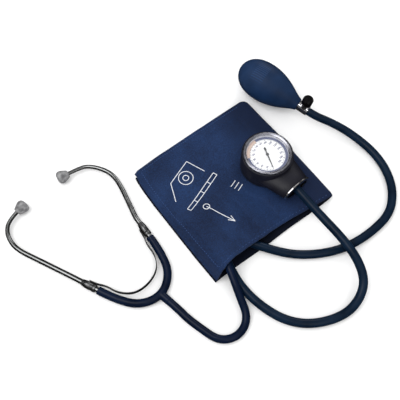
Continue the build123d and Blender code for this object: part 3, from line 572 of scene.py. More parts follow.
def apply_modifier(piece, kind, name, **settings):
    """Adds a modifier with its settings and applies it."""
    choose(piece)
    modifier = piece.modifiers.new(name, kind)
    for setting, value in settings.items():
        setattr(modifier, setting, value)
    bpy.ops.object.modifier_apply(modifier=modifier.name)


def carve(piece, tool):
    """Cuts one closed shape out of another and takes the cutter away."""
    apply_modifier(piece, "BOOLEAN", "cut", object=tool, operation="DIFFERENCE", solver="EXACT")
    bpy.data.objects.remove(tool)


def dress(piece, material, body):
    """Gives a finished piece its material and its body."""
    piece.data.materials.clear()
    piece.data.materials.append(material)
    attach(piece, body)
    return piece


def turned(name, outline, place=None, sides=SIDES, ring=False, angle=38.0):
    """A turned piece: a circle extruded and resized along (radius, height) points in millimetres."""
    deselect()
    radius, height = outline[0]
    bpy.ops.mesh.primitive_circle_add(vertices=sides, radius=radius * MM, location=(0, 0, height * MM))
    piece = bpy.context.object
    rename(piece, name)
    bpy.ops.object.transform_apply(location=True)
    edit(piece)
    if not ring:
        bpy.ops.mesh.edge_face_add()
        bpy.ops.mesh.poke()
        pick(piece, lambda co: math.hypot(co.x, co.y) > radius * MM * 0.5)
    stops = outline + [outline[0]] if ring else outline
    for (radius_now, height_now), (radius, height) in zip(stops, stops[1:]):
        bpy.ops.mesh.extrude_edges_move(TRANSFORM_OT_translate={"value": (0, 0, (height - height_now) * MM)})
        share = radius / radius_now
        bpy.ops.transform.resize(value=(share, share, 1), center_override=(0, 0, height * MM))
    if not ring:
        bpy.ops.mesh.edge_face_add()
        bpy.ops.mesh.poke()
    close_edit()
    tidy_mesh(piece)
    if place is not None:
        settle(piece, place)
    smooth(piece, angle)
    return piece


def line_of(name, points, radius, radii=None, resolution=10):
    """A smooth line with a round section, led by control points in metres."""
    deselect()
    bpy.ops.curve.primitive_nurbs_path_add()
    piece = bpy.context.object
    rename(piece, name)
    curve = piece.data
    curve.splines.clear()
    spline = curve.splines.new("NURBS")
    spline.points.add(len(points) - 1)
    for i, point in enumerate(points):
        spline.points[i].co = (*point, 1.0)
        if radii:
            spline.points[i].radius = radii[i]
    spline.order_u = 3
    spline.use_endpoint_u = True
    spline.resolution_u = resolution
    curve.dimensions = "3D"
    curve.resolution_u = resolution
    curve.render_resolution_u = 0
    curve.bevel_depth = radius
    curve.bevel_resolution = 8
    curve.use_fill_caps = True
    piece.matrix_world = Matrix.Identity(4)
    return piece


def to_mesh(piece):
    """Turns a line or a text into a mesh."""
    choose(piece)
    bpy.ops.object.convert(target="MESH")
    return bpy.context.object


def join(pieces, name):
    """Makes one object of several."""
    choose(*pieces)
    bpy.ops.object.join()
    piece = bpy.context.object
    rename(piece, name)
    return piece


def along_direction(start, direction):
    """A place whose +Z runs along a direction."""
    return Matrix.Translation(start) @ direction.to_track_quat("Z", "Y").to_matrix().to_4x4()


def repaint(material, *nodes):
    """Gives carried-over solids a better material."""
    for name in nodes:
        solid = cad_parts[name]
        if not solid.material_slots:
            solid.data.materials.append(material)
        for place in solid.material_slots:
            place.material = material


def between(points, value, eased=True):
    """A value between (place, value) points, eased at each of them or straight."""
    if value <= points[0][0]:
        return points[0][1]
    for (a, va), (b, vb) in zip(points, points[1:]):
        if value <= b:
            share = (value - a) / (b - a)
            share = share * share * (3 - 2 * share) if eased else share
            return va + (vb - va) * share
    return points[-1][1]


def soft_step(low, high, value):
    """0 up to one value, 1 from another on, and eased between them."""
    share = min(1.0, max(0.0, (value - low) / (high - low)))
    return share * share * (3 - 2 * share)


# Cuff
# The cuff's outline as it lies, bowed a little, in millimetres: left edge, fold and back edge
LEFT_EDGE = [(-72, -73.4), (-40, -74.2), (30, -74.2), (50, -73.5), (62, -72.6), (70, -71.0)]
FOLD_EDGE = [(-71.5, 74.4), (-67, 75.7), (-45, 76.3), (-10, 77.0), (15, 78.3), (25, 78.6), (55, 78.0)]
BACK_EDGE = [(-74, 69.8), (-60, 70.6), (-40, 71.8), (-20, 72.2), (0, 72.8), (20, 73.2), (60, 73.8)]
MOUTH_FRONT = -70.3
CORNER_START = 68.2
CORNER_RADIUS = 10.0
UPPER_SPAN = (-70.0, 73.5)
UNDER_SPAN = (-70.2, 66.8)
FOLD_RADIUS = 3.8
CUT_LENGTH = 160.0
CUT_WIDTH = 143.0
# How far the mouth stands open along its edge, and what share of that is left further back
MOUTH_RISE = [(-72.5, 0.3), (-66.5, 9.4), (-60, 15.5), (-50, 15.5), (-38, 10.3), (-28, 9.0), (-19, 7.1),
              (-8, 4.0), (17, 0)]
BULGE_SHARES = [(-71, 1.0), (-50, 0.97), (-14, 0.62), (12, 0.0)]
# The gauge's neck where it crosses the cuff, the seams and the print
NECK_LINE = 43.0
NECK_HALF_WIDTH = 18.0
STITCH_RADIUS = 0.28
STITCH_PITCH = 2.8
PRINT_WIDTH = 0.75
PRINT_LIFT = 0.07


def gauge_clear(x, y):
    """0 where the gauge stands on the cuff, 1 away from it."""
    from_axis = math.hypot(x - GAUGE_SPOT[0], y - GAUGE_SPOT[1])
    from_neck = max(abs(x - NECK_LINE) - NECK_HALF_WIDTH, y + 4.0)
    return soft_step(28.0, 40.0, from_axis) * soft_step(0.0, 12.0, from_neck)


def cuff_height(x, y):
    """Height of the cuff's upper face in millimetres."""
    rise = between(MOUTH_RISE, x) * between(BULGE_SHARES, y)
    wave = noise.noise(Vector((x / 34, y / 46, 1.7))) * 0.55
    wave += noise.noise(Vector((x / 15, y / 22, 5.1))) * 0.22
    crease = noise.noise(Vector((x / 9, y / 55, 9.3))) * 0.5 * soft_step(-20, -60, y)
    return CUFF_TOP + rise + (wave + crease - 0.25) * gauge_clear(x, y)


def mouth_line(x):
    """The upper cloth's front edge, which stands back in the middle."""
    bow = 6.0 * max(0.0, 1.0 - ((x + 4.0) / 70.5) ** 2)
    return MOUTH_FRONT + bow + 0.35 * math.sin(x / 9.0)


def simulate(piece, frames, cap, pinned=None, gravity=0.0, **settings):
    """Runs a short cloth simulation, keeps its result and caps how far a point may move."""
    scene = bpy.context.scene
    rest = [vertex.co.copy() for vertex in piece.data.vertices]
    modifier = piece.modifiers.new("cloth", "CLOTH")
    if pinned is not None:
        group = piece.vertex_groups.new(name="pinned")
        for vertex in piece.data.vertices:
            group.add([vertex.index], pinned(vertex.co), "REPLACE")
        modifier.settings.vertex_group_mass = "pinned"
    modifier.settings.effector_weights.gravity = gravity
    for setting, value in settings.items():
        setattr(modifier.settings, setting, value)
    for number in range(1, frames + 1):
        scene.frame_set(number)
    choose(piece)
    bpy.ops.object.modifier_apply(modifier=modifier.name)
    scene.frame_set(1)
    for vertex, before in zip(piece.data.vertices, rest):
        move = vertex.co - before
        vertex.co = before + move * min(1.0, cap * MM / max(move.length, 1e-9))
    piece.vertex_groups.clear()


def make_cloth_sheet(name, columns, rows, place_of, thickness, offset, settle_down=None):
    """A sheet of cloth: a grid laid out by a function of its flat place, then given its thickness."""
    deselect()
    bpy.ops.mesh.primitive_grid_add(x_subdivisions=columns, y_subdivisions=rows, size=1.0)
    piece = bpy.context.object
    rename(piece, name)
    flat = piece.data.uv_layers[0]
    flat.name = "cloth"
    shares = [(vertex.co.x + 0.5, vertex.co.y + 0.5) for vertex in piece.data.vertices]
    width, height = CUT_LENGTH * MM, CUT_WIDTH * MM
    for loop in piece.data.loops:
        u, v = shares[loop.vertex_index]
        flat.data[loop.index].uv = (u * width, v * height)
    for vertex, (u, v) in zip(piece.data.vertices, shares):
        vertex.co = Vector(place_of(u, v)) * MM
    if settle_down is not None:
        settle_down(piece)
    apply_modifier(piece, "SOLIDIFY", "thickness", thickness=thickness, offset=offset, use_even_offset=False)
    bpy.ops.object.shade_smooth()
    return piece


def back_line(x):
    """The back edge's place, with the rounded corner at the fold."""
    past = max(0.0, x - CORNER_START)
    corner = CORNER_RADIUS - math.sqrt(max(0.0, CORNER_RADIUS ** 2 - past ** 2))
    return between(BACK_EDGE, x, False) - corner


def upper_place(u, v):
    """Where a point of the upper cloth lies: flat over the cuff, then round the fold."""
    half_turn = math.pi * FOLD_RADIUS
    run = CUT_LENGTH - half_turn
    flat = u * CUT_LENGTH
    y = UPPER_SPAN[0] + v * (UPPER_SPAN[1] - UPPER_SPAN[0])
    left = between(LEFT_EDGE, y, False)
    fold_centre = between(FOLD_EDGE, y, False) - FOLD_RADIUS
    x = left + (fold_centre - left) * min(1.0, flat / run)
    turn = max(0.0, flat - run) / half_turn * math.pi
    x += FOLD_RADIUS * math.sin(turn)
    front = mouth_line(x)
    y = front + v * (back_line(x) - front)
    if turn > 0:
        return x, y, FOLD_RADIUS + FOLD_RADIUS * math.cos(turn)
    hem = soft_step(6.0, 0.0, flat)
    near_fold = soft_step(run - 14.0, run, flat)
    return x, y, cuff_height(x, y) * (1 - near_fold) + CUFF_TOP * near_fold - 3.0 * hem * hem


def under_place(u, v):
    """Where a point of the under cloth lies."""
    span = UNDER_SPAN[1] - UNDER_SPAN[0]
    y = UNDER_SPAN[0] + v * span
    left = between(LEFT_EDGE, y, False) - 0.6
    x = left + u * (between(FOLD_EDGE, y, False) - FOLD_RADIUS - left)
    lift = 0.5 * soft_step(8.0, 0.0, v * span) * (1 + math.sin(x / 8.0)) * 0.5
    return x, y + 0.3 * math.sin(x / 11.0) * (1 - v), 2.0 + lift


def make_stitches(name, line, height_of):
    """A row of stitches along a line of (x, y) points, each lying on the cloth."""
    stitches = []
    for start, end in zip(line, line[1:]):
        run = Vector(end) - Vector(start)
        count = max(1, round(run.length / STITCH_PITCH))
        for i in range(count):
            middle = Vector(start) + run * ((i + 0.5) / count)
            angle = math.atan2(run.y, run.x)
            stitches.append((middle, angle))
    deselect()
    bpy.ops.mesh.primitive_uv_sphere_add(segments=6, ring_count=4, radius=STITCH_RADIUS * MM)
    first = bpy.context.object
    first.scale = (STITCH_PITCH * 0.36 / STITCH_RADIUS, 1, 0.8)
    bpy.ops.object.transform_apply(scale=True)
    copies = []
    for middle, angle in stitches:
        mesh = first.data.copy()
        mesh.transform(Matrix.Translation(Vector((middle.x, middle.y, height_of(middle.x, middle.y))) * MM)
                       @ Matrix.Rotation(angle, 4, "Z"))
        copies.append(add_object(name, mesh))
    bpy.data.objects.remove(first)
    piece = join(copies, name)
    smooth(piece)
    return piece


def ribbon(points, height_of):
    """A flat printed line along (x, y) points, a little above the cloth."""
    fine = []
    for start, end in zip(points, points[1:]):
        run = Vector(end) - Vector(start)
        steps = max(1, math.ceil(run.length / 1.2))
        fine += [Vector(start) + run * (i / steps) for i in range(steps)]
    fine.append(Vector(points[-1]))
    left, right = [], []
    for i, point in enumerate(fine):
        direction = (fine[min(i + 1, len(fine) - 1)] - fine[max(i - 1, 0)]).normalized()
        normal = Vector((-direction.y, direction.x)) * PRINT_WIDTH / 2
        left.append(point + normal)
        right.append(point - normal)
    vertices = [Vector((p.x, p.y, height_of(p.x, p.y) + PRINT_LIFT)) * MM for p in left + right]
    count = len(fine)
    faces = [(i, count + i, count + i + 1, i + 1) for i in range(count - 1)]
    return vertices, faces


def circle_points(x, y, radius):
    """Points round a circle, back to the first one."""
    steps = 28
    turns = [math.radians(360.0 * i / steps) for i in range(steps + 1)]
    return [(x + radius * math.cos(turn), y + radius * math.sin(turn)) for turn in turns]


def height_on(piece):
    """A function that gives a piece's upper height in millimetres at a place in millimetres."""
    bpy.context.view_layer.update()

    def height(x, y):
        hit, spot, _, _ = piece.ray_cast(Vector((x, y, 80.0)) * MM, Vector((0, 0, -1)))
        return spot.z / MM if hit else CUFF_TOP

    return height


def hold_upper(co):
    """1 where the upper cloth is sewn, folded or weighed down, less where it may pucker."""
    x, y = co.x / MM, co.y / MM
    border = min(x - between(LEFT_EDGE, y, False), 68.0 - x, y + 66.0, 70.0 - y)
    return max(1.0 - soft_step(2.0, 14.0, border), 1.0 - gauge_clear(x, y), 0.04)


def pucker(piece):
    """Lets the upper cloth grow a little between its seams, so that soft creases form."""
    simulate(piece, 14, 0.9, hold_upper, gravity=0.2, shrink_min=-0.012, bending_stiffness=4.0,
             tension_stiffness=20.0, compression_stiffness=20.0, shear_stiffness=8.0, quality=6, mass=0.25)


def make_cuff_print(height_of):
    """Plain white marks that show how the cuff is placed: a range bar, an arrow and a round spot."""
    lines = [
        [(-52, 4), (-6, 22)], [(-50.4, -0.2), (-4.4, 17.8)],
        [(-52, 4), (-50.4, -0.2)], [(-6, 22), (-4.4, 17.8)],
        [(-40.5, 8.6), (-38.9, 4.4)], [(-29, 13.1), (-27.4, 8.9)], [(-17.5, 17.6), (-15.9, 13.4)],
        [(-36, -6), (-24, -36)], [(-28.6, -30.6), (-24, -36), (-23.4, -28.6)],
        [(-56, 18), (-48, 38), (-20, 49), (-12, 29)],
        circle_points(-36, -6, 3.2), circle_points(-32, 34, 7.5), circle_points(-32, 34, 3.0),
        [(-2, -2), (6, 1)], [(-0.5, -6), (7.5, -3)], [(1, -10), (9, -7)],
    ]
    vertices, faces = [], []
    for points in lines:
        more, quads = ribbon(points, height_of)
        base = len(vertices)
        vertices += more
        faces += [tuple(base + i for i in quad) for quad in quads]
    mesh = bpy.data.meshes.new("cuff_print")
    mesh.from_pydata(vertices, [], faces)
    piece = add_object("cuff_print", mesh)
    edit(piece)
    bpy.ops.mesh.normals_make_consistent(inside=False)
    close_edit()
    apply_modifier(piece, "SOLIDIFY", "ink", thickness=0.0001, offset=0)
    return piece


class PRESSURE_OT_cuff(bpy.types.Operator):
    """Add the cuff's two cloths, its seams and its printed marks"""
    bl_idname = "pressure.cuff"
    bl_label = "Cuff"

    def execute(self, context):
        values = context.scene.pressure_cuff
        navy = make_woven("navy_nylon", values.light, values.dark, values.thread)
        # Painted shade: the under cloth gets a darker copy of the navy, which stands in for the shade under
        # the upper cloth.
        black = make_woven("under_nylon_painted_shade", shade(values.dark, 0.45), shade(values.dark, 0.25), values.thread)
        upper = make_cloth_sheet("cuff_upper_cloth", 125, 116, upper_place, values.cloth, -1.0, pucker)
        dress(upper, navy, "base")
        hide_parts("cuff_outer_sheet")
        under = make_cloth_sheet("cuff_under_cloth", 70, 68, under_place, values.cloth, -1.0)
        dress(under, black, "base")
        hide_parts("cuff_under_sheet")
        thread = make_ink("navy_thread", shade(values.light, 1.5))
        left = [(between(LEFT_EDGE, y, False) + 7.0, y) for y in (66, 50, 30, 0, -40, -64)]
        back = [(x, back_line(x) - 3.5) for x in range(-64, 72, 8)]
        front = [(x, mouth_line(x) + 3.0) for x in range(-66, 72, 4)]
        height_of = height_on(upper)
        seams = make_stitches("cuff_stitches", left + front[1:], height_of)
        more = make_stitches("back_stitches", back, height_of)
        seams = join([seams, more], "cuff_stitches")
        dress(seams, thread, "base")
        marks = make_cuff_print(height_of)
        dress(marks, make_ink("white_print", (0.72, 0.74, 0.78)), "base")
        return {"FINISHED"}


# Bladder, in millimetres
BAG_CENTRE = (-1.9, -8.0, 3.85)
BAG_SIZE = (129.0, 94.8, 2.0)
BAG_CORNER = 12.0
PORT_RADIUS = 4.1


def bag_place(u, v):
    """Where a point of the flat bag lies: a rectangle with rounded corners."""
    x, y = (u - 0.5) * BAG_SIZE[0], (v - 0.5) * BAG_SIZE[1]
    reach = (max(abs(x) - BAG_SIZE[0] / 2 + BAG_CORNER, 0.0),
             max(abs(y) - BAG_SIZE[1] / 2 + BAG_CORNER, 0.0))
    pull = max(reach) / max(math.hypot(*reach), 1e-9) if min(reach) > 0 else 1.0
    x -= math.copysign(reach[0] * (1 - pull), x)
    y -= math.copysign(reach[1] * (1 - pull), y)
    return BAG_CENTRE[0] + x, BAG_CENTRE[1] + y, BAG_CENTRE[2]


def make_bladder_bag(material):
    """Rubber bag, swollen a little by its air, with its two ports."""
    bag = make_cloth_sheet("bladder_bag", 64, 48, bag_place, BAG_SIZE[2] * MM, 0.0)
    simulate(bag, 10, 0.45, use_pressure=True, uniform_pressure_force=2.0, tension_stiffness=15.0,
             bending_stiffness=2.0, mass=0.3)
    parts = [bag]
    for route in (GAUGE_HOSE, BULB_HOSE):
        mouth = Vector(route[-1])
        inward = (mouth - Vector(route[-2])).normalized()
        points = [mouth, mouth + inward * 3.5, mouth + inward * 8 - Vector((0, 0, 1.2)),
                  mouth + inward * 16 - Vector((0, 0, 2.65))]
        port = line_of("port", [p * MM for p in points], PORT_RADIUS * MM, [1.0, 1.0, 0.7, 0.25])
        parts.append(to_mesh(port))
    bag = join(parts, "bladder_bag")
    bpy.ops.object.shade_smooth()
    dress(bag, material, "base")
    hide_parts("bladder")


class PRESSURE_OT_cuff_inside(bpy.types.Operator):
    """Finish the bladder, the closing strips and the chestpiece that lie in the cuff"""
    bl_idname = "pressure.cuff_inside"
    bl_label = "Inside of the cuff"

    def execute(self, context):
        make_bladder_bag(make_rubber("bladder_rubber", (0.02, 0.02, 0.024), 0.5))
        repaint(make_woven_tape(), "hook_strip", "loop_strip")
        bright = make_chrome("chestpiece_chrome", (0.66, 0.67, 0.70), 0.12)
        repaint(bright, "chestpiece_body", "chestpiece_stem", "chestpiece_ring")
        repaint(make_plastic("diaphragm_sheet", (0.7, 0.7, 0.66), 0.35), "chestpiece_diaphragm")
        return {"FINISHED"}


# Cords
class PRESSURE_OT_cords(bpy.types.Operator):
    """Add the two hoses and the stethoscope's tube"""
    bl_idname = "pressure.cords"
    bl_label = "Hoses and tube"

    def execute(self, context):
        values = context.scene.pressure_hoses
        rubber = make_rubber("hose_rubber", values.rubber, 0.3)
        soft = make_rubber("scope_rubber", values.scope_rubber, 0.3)
        jobs = [
            ("bulb_hose_line", "bulb_hose", BULB_HOSE, values.hose, rubber, "hose_rubber", 0.3080),
            ("gauge_hose_line", "gauge_hose", GAUGE_HOSE, values.hose, rubber, "hose_rubber", 0.2926),
            ("scope_tube_line", "stethoscope_tube", SCOPE_TUBE, values.scope, soft, "scope_rubber", 0.1526),
        ]
        for name, node, route, diameter, material, slot, length in jobs:
            points = [Vector(p) * MM for p in route]
            piece = line_of(name, points, diameter / 2)
            dress(piece, material, "base")
            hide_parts(node)
        return {"FINISHED"}


# Gauge
def dial_angle(values, number):
    """Angle of a number on the dial, in radians from +X."""
    first = NECK_YAW - math.radians(90.0 + SCALE_START)
    return first - values.scale_turn * number / values.scale_end


def make_gauge_case(material):
    """Turned case joined to its hooded neck, hollow where the movement and the hose go."""
    case = turned("gauge_case", [
        (2, 0), (22.6, 0), (24.6, 0.7), (25.6, 2.2), (CASE_RADIUS, 4.0), (CASE_RADIUS, 24.4), (25.5, 25.1),
        (24.9, CASE_TOP), (24.3, CASE_TOP), (24.3, DIAL_SEAT), (CASE_BORE, DIAL_SEAT),
        (CASE_BORE, CASE_FLOOR), (2, CASE_FLOOR)])
    neck = oval_bar("neck", [
        (8, 24.0, 9.8), (20, 21.2, 9.8), (34, 17.9, 9.8), (40.6, 16.4, 9.8), (NECK_END, 16.0, 9.4)])
    carve(neck, turned("bore", [(1, 3.2), (CASE_BORE, 3.2), (CASE_BORE, 24), (1, 24)]))
    carve(neck, oval_bar("hollow", [(27.2, 13.4, 7.0), (28.4, *NECK_HOLE), (43, *NECK_HOLE)]))
    carve(neck, turned("core", [(1, 0.3), (25.0, 0.3), (25.0, 21.8), (1, 21.8)]))
    piece = join([case, neck], "gauge_case")
    settle(piece, NECK_PLACE)
    smooth(piece, 32)
    return dress(piece, material, "base")


def oval_bar(name, sections):
    """An oval bar along the neck through (distance, half width, half height) sections in millimetres."""
    deselect()
    distance, wide, high = sections[0]
    bpy.ops.mesh.primitive_circle_add(vertices=SIDES, radius=MM, fill_type="NGON",
                                      location=(0, -distance * MM, NIPPLE_HEIGHT * MM),
                                      rotation=(math.radians(90), 0, 0))
    piece = bpy.context.object
    piece.name = name
    piece.scale = (wide, high, 1)
    bpy.ops.object.transform_apply(location=True, rotation=True, scale=True)
    edit(piece)
    for (before, wide_now, high_now), (distance, wide, high) in zip(sections, sections[1:]):
        bpy.ops.mesh.extrude_region_move(TRANSFORM_OT_translate={"value": (0, (before - distance) * MM, 0)})
        bpy.ops.transform.resize(value=(wide / wide_now, 1, high / high_now),
                                 center_override=(0, -distance * MM, NIPPLE_HEIGHT * MM))
    close_edit()
    tidy_mesh(piece)
    return piece


def make_mouth_ring(material):
    """Bright oval ring on the neck's mouth."""
    outside = oval_bar("neck_ring_oval", [
        (NECK_END, 16.6, 10.2), (41.8, 17.0, 10.6), (42.7, 17.0, 10.6), (43.3, 16.4, 10.0)])
    carve(outside, oval_bar("hole", [(40, *NECK_HOLE), (45, *NECK_HOLE)]))
    settle(outside, NECK_PLACE)
    smooth(outside, 40)
    dress(outside, material, "base")
    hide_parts("gauge_neck_ring")


class PRESSURE_OT_gauge_case(bpy.types.Operator):
    """Add the gauge's case, its neck's ring, its bezel and its window"""
    bl_idname = "pressure.gauge_case"
    bl_label = "Gauge case"

    def execute(self, context):
        black = make_plastic("case_plastic", (0.008, 0.008, 0.014), 0.42)
        case = make_gauge_case(black)
        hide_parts("gauge_housing")
        bright = make_chrome("bezel_chrome", (0.50, 0.50, 0.56), 0.26, 0.08)
        make_mouth_ring(make_chrome("ring_chrome", (0.72, 0.70, 0.70), 0.12))
        bezel = turned("bezel_ring", [
            (23.2, 22.4), (24.2, 22.4), (24.2, 25.6), (24.05, 26.25), (23.6, 26.75), (23.0, 26.9),
            (22.4, 26.8), (21.9, 26.5), (21.3, 26.2), (21.0, 26.1), (21.0, 25.8), (23.2, 25.8)],
            GAUGE_PLACE, sides=128, ring=True)
        dress(bezel, bright, "base")
        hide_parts("gauge_bezel")
        repaint(make_glass(), "gauge_lens")
        repaint(make_plastic("spacer_plastic", (0.55, 0.55, 0.6), 0.4), "dial_spacer")
        return {"FINISHED"}


def make_dial_ticks(values):
    """Scale lines: one is drawn, then copied round the dial."""
    pieces = []
    for step, count, inner, width in ((2, 151, 16.7, 0.13), (10, 31, 16.2, 0.24), (20, 16, 15.7, 0.38)):
        deselect()
        bpy.ops.mesh.primitive_cube_add(size=1.0)
        tick = bpy.context.object
        tick.scale = ((TICK_RING - inner) * MM, width * MM, 0.05 * MM)
        tick.location = ((TICK_RING + inner) / 2 * MM, 0, DIAL_TOP * MM)
        bpy.ops.object.transform_apply(location=True, scale=True)
        for i in range(count):
            mesh = tick.data.copy()
            mesh.transform(Matrix.Rotation(dial_angle(values, i * step), 4, "Z"))
            pieces.append(add_object("tick", mesh))
        bpy.data.objects.remove(tick)
    piece = join(pieces, "dial_ticks")
    settle(piece, GAUGE_PLACE)
    return piece


def make_dial_numbers(values):
    """Plain numbers from 0 to the end of the scale, upright on the dial."""
    pieces = []
    upright = Matrix.Rotation(NECK_YAW, 4, "Z")
    for number in range(0, values.scale_end + 1, 20):
        deselect()
        bpy.ops.object.text_add(location=(0, 0, 0))
        text = bpy.context.object
        text.data.body = str(number)
        text.data.size = values.number_size
        text.data.extrude = 0.02 * MM
        text.data.offset = 0.07 * MM
        text.data.resolution_u = 3
        text.data.align_x = "CENTER"
        text.data.align_y = "CENTER"
        figure = to_mesh(text)
        angle = dial_angle(values, number)
        spot = Vector((NUMBER_RING * math.cos(angle), NUMBER_RING * math.sin(angle), DIAL_TOP)) * MM
        settle(figure, Matrix.Translation(spot) @ upright)
        pieces.append(figure)
    piece = join(pieces, "dial_numbers")
    settle(piece, GAUGE_PLACE)
    return piece


def make_pointer_hand(values):
    """Needle with a long point, an oval weight on its tail and a domed hub."""
    long, wide = 2.1, 0.8
    point = [(0.9, 0.62), (6.0, 0.56), (12.0, 0.42), (15.6, 0.24)]
    tail = [(-1.2, 0.5), (-4.0, 0.52), (-5.2, 0.85), (-6.6, 1.15), (-7.9, 0.9), (-8.6, 0.3)]
    deselect()
    bpy.ops.mesh.primitive_plane_add(size=1.0)
    hand = bpy.context.object
    hand.scale = (long * MM, wide * MM, 1)
    bpy.ops.object.transform_apply(scale=True)
    for stops, side in ((point, 1), (tail, -1)):
        now_x, now_w = side * long / 2, wide / 2
        edit(hand)
        edge = max(abs(v.co.x) for v in hand.data.vertices if v.co.x * side > 0)
        pick(hand, lambda co: co.x * side > edge - 1e-6)
        for x, half in stops:
            bpy.ops.mesh.extrude_edges_move(TRANSFORM_OT_translate={"value": ((x - now_x) * MM, 0, 0)})
            bpy.ops.transform.resize(value=(1, half / now_w, 1), center_override=(0, 0, 0))
            now_x, now_w = x, half
        close_edit()
    apply_modifier(hand, "SOLIDIFY", "sheet", thickness=0.35 * MM, offset=0)
    hub = turned("hub", [(0.4, -0.3), (1.3, -0.3), (1.6, 0.0), (1.5, 0.6), (1.1, 0.92), (0.4, 1.0)],
                 sides=32)
    piece = join([hand, hub], "pointer_hand")
    turn = Matrix.Rotation(dial_angle(values, 0), 4, "Z")
    settle(piece, GAUGE_PLACE @ Matrix.Translation((0, 0, POINTER_HEIGHT * MM)) @ turn)
    tidy_mesh(piece)
    smooth(piece, 40)
    return piece


class PRESSURE_OT_gauge_face(bpy.types.Operator):
    """Add the dial's printing and the pointer"""
    bl_idname = "pressure.gauge_face"
    bl_label = "Gauge face"

    def execute(self, context):
        values = context.scene.pressure_gauge
        repaint(make_dial_paint(values), "gauge_dial")
        ticks = make_dial_ticks(values)
        dress(ticks, make_ink("tick_ink", (0.06, 0.06, 0.10)), "base")
        numbers = make_dial_numbers(values)
        dress(numbers, make_ink("number_ink", (0.06, 0.06, 0.14)), "base")
        hand = make_pointer_hand(values)
        dress(hand, make_ink("pointer_black", (0.012, 0.012, 0.014)), "pointer")
        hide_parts("gauge_pointer")
        return {"FINISHED"}


class PRESSURE_OT_movement(bpy.types.Operator):
    """Finish the gauge's movement and its air way"""
    bl_idname = "pressure.movement"
    bl_label = "Movement"

    def execute(self, context):
        brass = make_turned_metal("movement_brass", (0.62, 0.46, 0.18))
        steel = make_turned_metal("movement_steel", (0.56, 0.56, 0.58), 0.22)
        repaint(brass, "movement_base", "movement_bridge", "movement_pillars", "sector_gear", "capsule_base",
                "capsule_push_pin", "gauge_nipple", "inlet_pipe", "pressure_capsule")
        repaint(steel, "pinion_arbor", "rocker_arm", "movement_screws", "hairspring", "release_screw")
        return {"FINISHED"}


# Bulb
def make_bulb_skin(values, material):
    """Egg-shaped skin, turned from shares of the bulb's length and radius."""
    length = values.length / MM
    radius = values.radius / MM
    shares = [(-0.999, 0.21), (-0.992, 0.31), (-0.965, 0.49), (-0.92, 0.67), (-0.86, 0.81), (-0.79, 0.915),
              (-0.70, 0.975), (-0.575, 1.0), (-0.465, 0.95), (-0.365, 0.86), (-0.275, 0.745), (-0.195, 0.615),
              (-0.13, 0.49), (-0.075, 0.395), (-0.04, 0.345), (-0.012, 0.315), (0.0, 0.29)]
    skin = turned("bulb_skin", [(r * radius, x * length) for x, r in shares], BULB_LATHE, sides=48)
    apply_modifier(skin, "SUBSURF", "smooth", levels=1, render_levels=1)
    smooth(skin, 60)
    dress(skin, material, "base")
    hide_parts("bulb")


class PRESSURE_OT_bulb(bpy.types.Operator):
    """Add the squeeze bulb and finish its valves"""
    bl_idname = "pressure.bulb"
    bl_label = "Bulb and valves"

    def execute(self, context):
        values = context.scene.pressure_bulb
        make_bulb_skin(values, make_bulb_rubber(values.rubber))
        bright = make_chrome("valve_chrome", (0.85, 0.85, 0.87), 0.12)
        repaint(bright, "valve_body", "gland_nut")
        repaint(make_knob_black(), "release_knob")
        navy = make_plastic("valve_plastic", (0.02, 0.026, 0.05), 0.3)
        repaint(navy, "inlet_valve_body", "inlet_valve_cap", "outlet_valve_seat")
        seal = make_rubber("seal_rubber", (0.02, 0.02, 0.02), 0.5)
        repaint(seal, "stem_seal", "inlet_valve_disc", "outlet_valve_disc")
        return {"FINISHED"}


# Headset
def both_sides(right):
    """Control points from the left end over the middle to the right end, from the right half's."""
    return [Vector((-p.x, p.y, p.z)) for p in right] + right[-2::-1]


def arm_end():
    """The right rubber arm's end and the direction in which it points, in millimetres."""
    end = Vector((*ARM_POINTS[0], ARM_HEIGHT))
    return end, (end - Vector((*ARM_POINTS[1], ARM_HEIGHT))).normalized()


def keep_side(piece, name, limit, side):
    """A copy of a piece, cut at a distance in millimetres from the middle and kept on one side."""
    part = add_object(name, piece.data.copy())
    rename(part, name)
    edit(part)
    bpy.ops.mesh.bisect(plane_co=(side * limit * MM, 0, 0), plane_no=(side, 0, 0), use_fill=True,
                        clear_inner=True, clear_outer=False)
    close_edit()
    return part


def make_yoke_middle(whole):
    """Middle of the rubber Y: both arms and the stem, melted into one."""
    reach = 9.0
    middle = keep_side(whole, "yoke_middle", -reach, 1)
    edit(middle)
    bpy.ops.mesh.bisect(plane_co=(reach * MM, 0, 0), plane_no=(1, 0, 0), use_fill=True, clear_outer=True)
    close_edit()
    stem_points = [Vector((0, y, ARM_HEIGHT)) * MM for y in (0.5, -4, -7, -10)]
    stem = to_mesh(line_of("stem", stem_points, STEM_RADIUS * MM))
    middle = join([middle, stem], "yoke_middle")
    apply_modifier(middle, "REMESH", "melt", mode="VOXEL", voxel_size=0.45 * MM)
    apply_modifier(middle, "SMOOTH", "flow", factor=0.5, iterations=7)
    settle(middle, YOKE_TURN)
    bpy.ops.object.shade_smooth()
    return middle


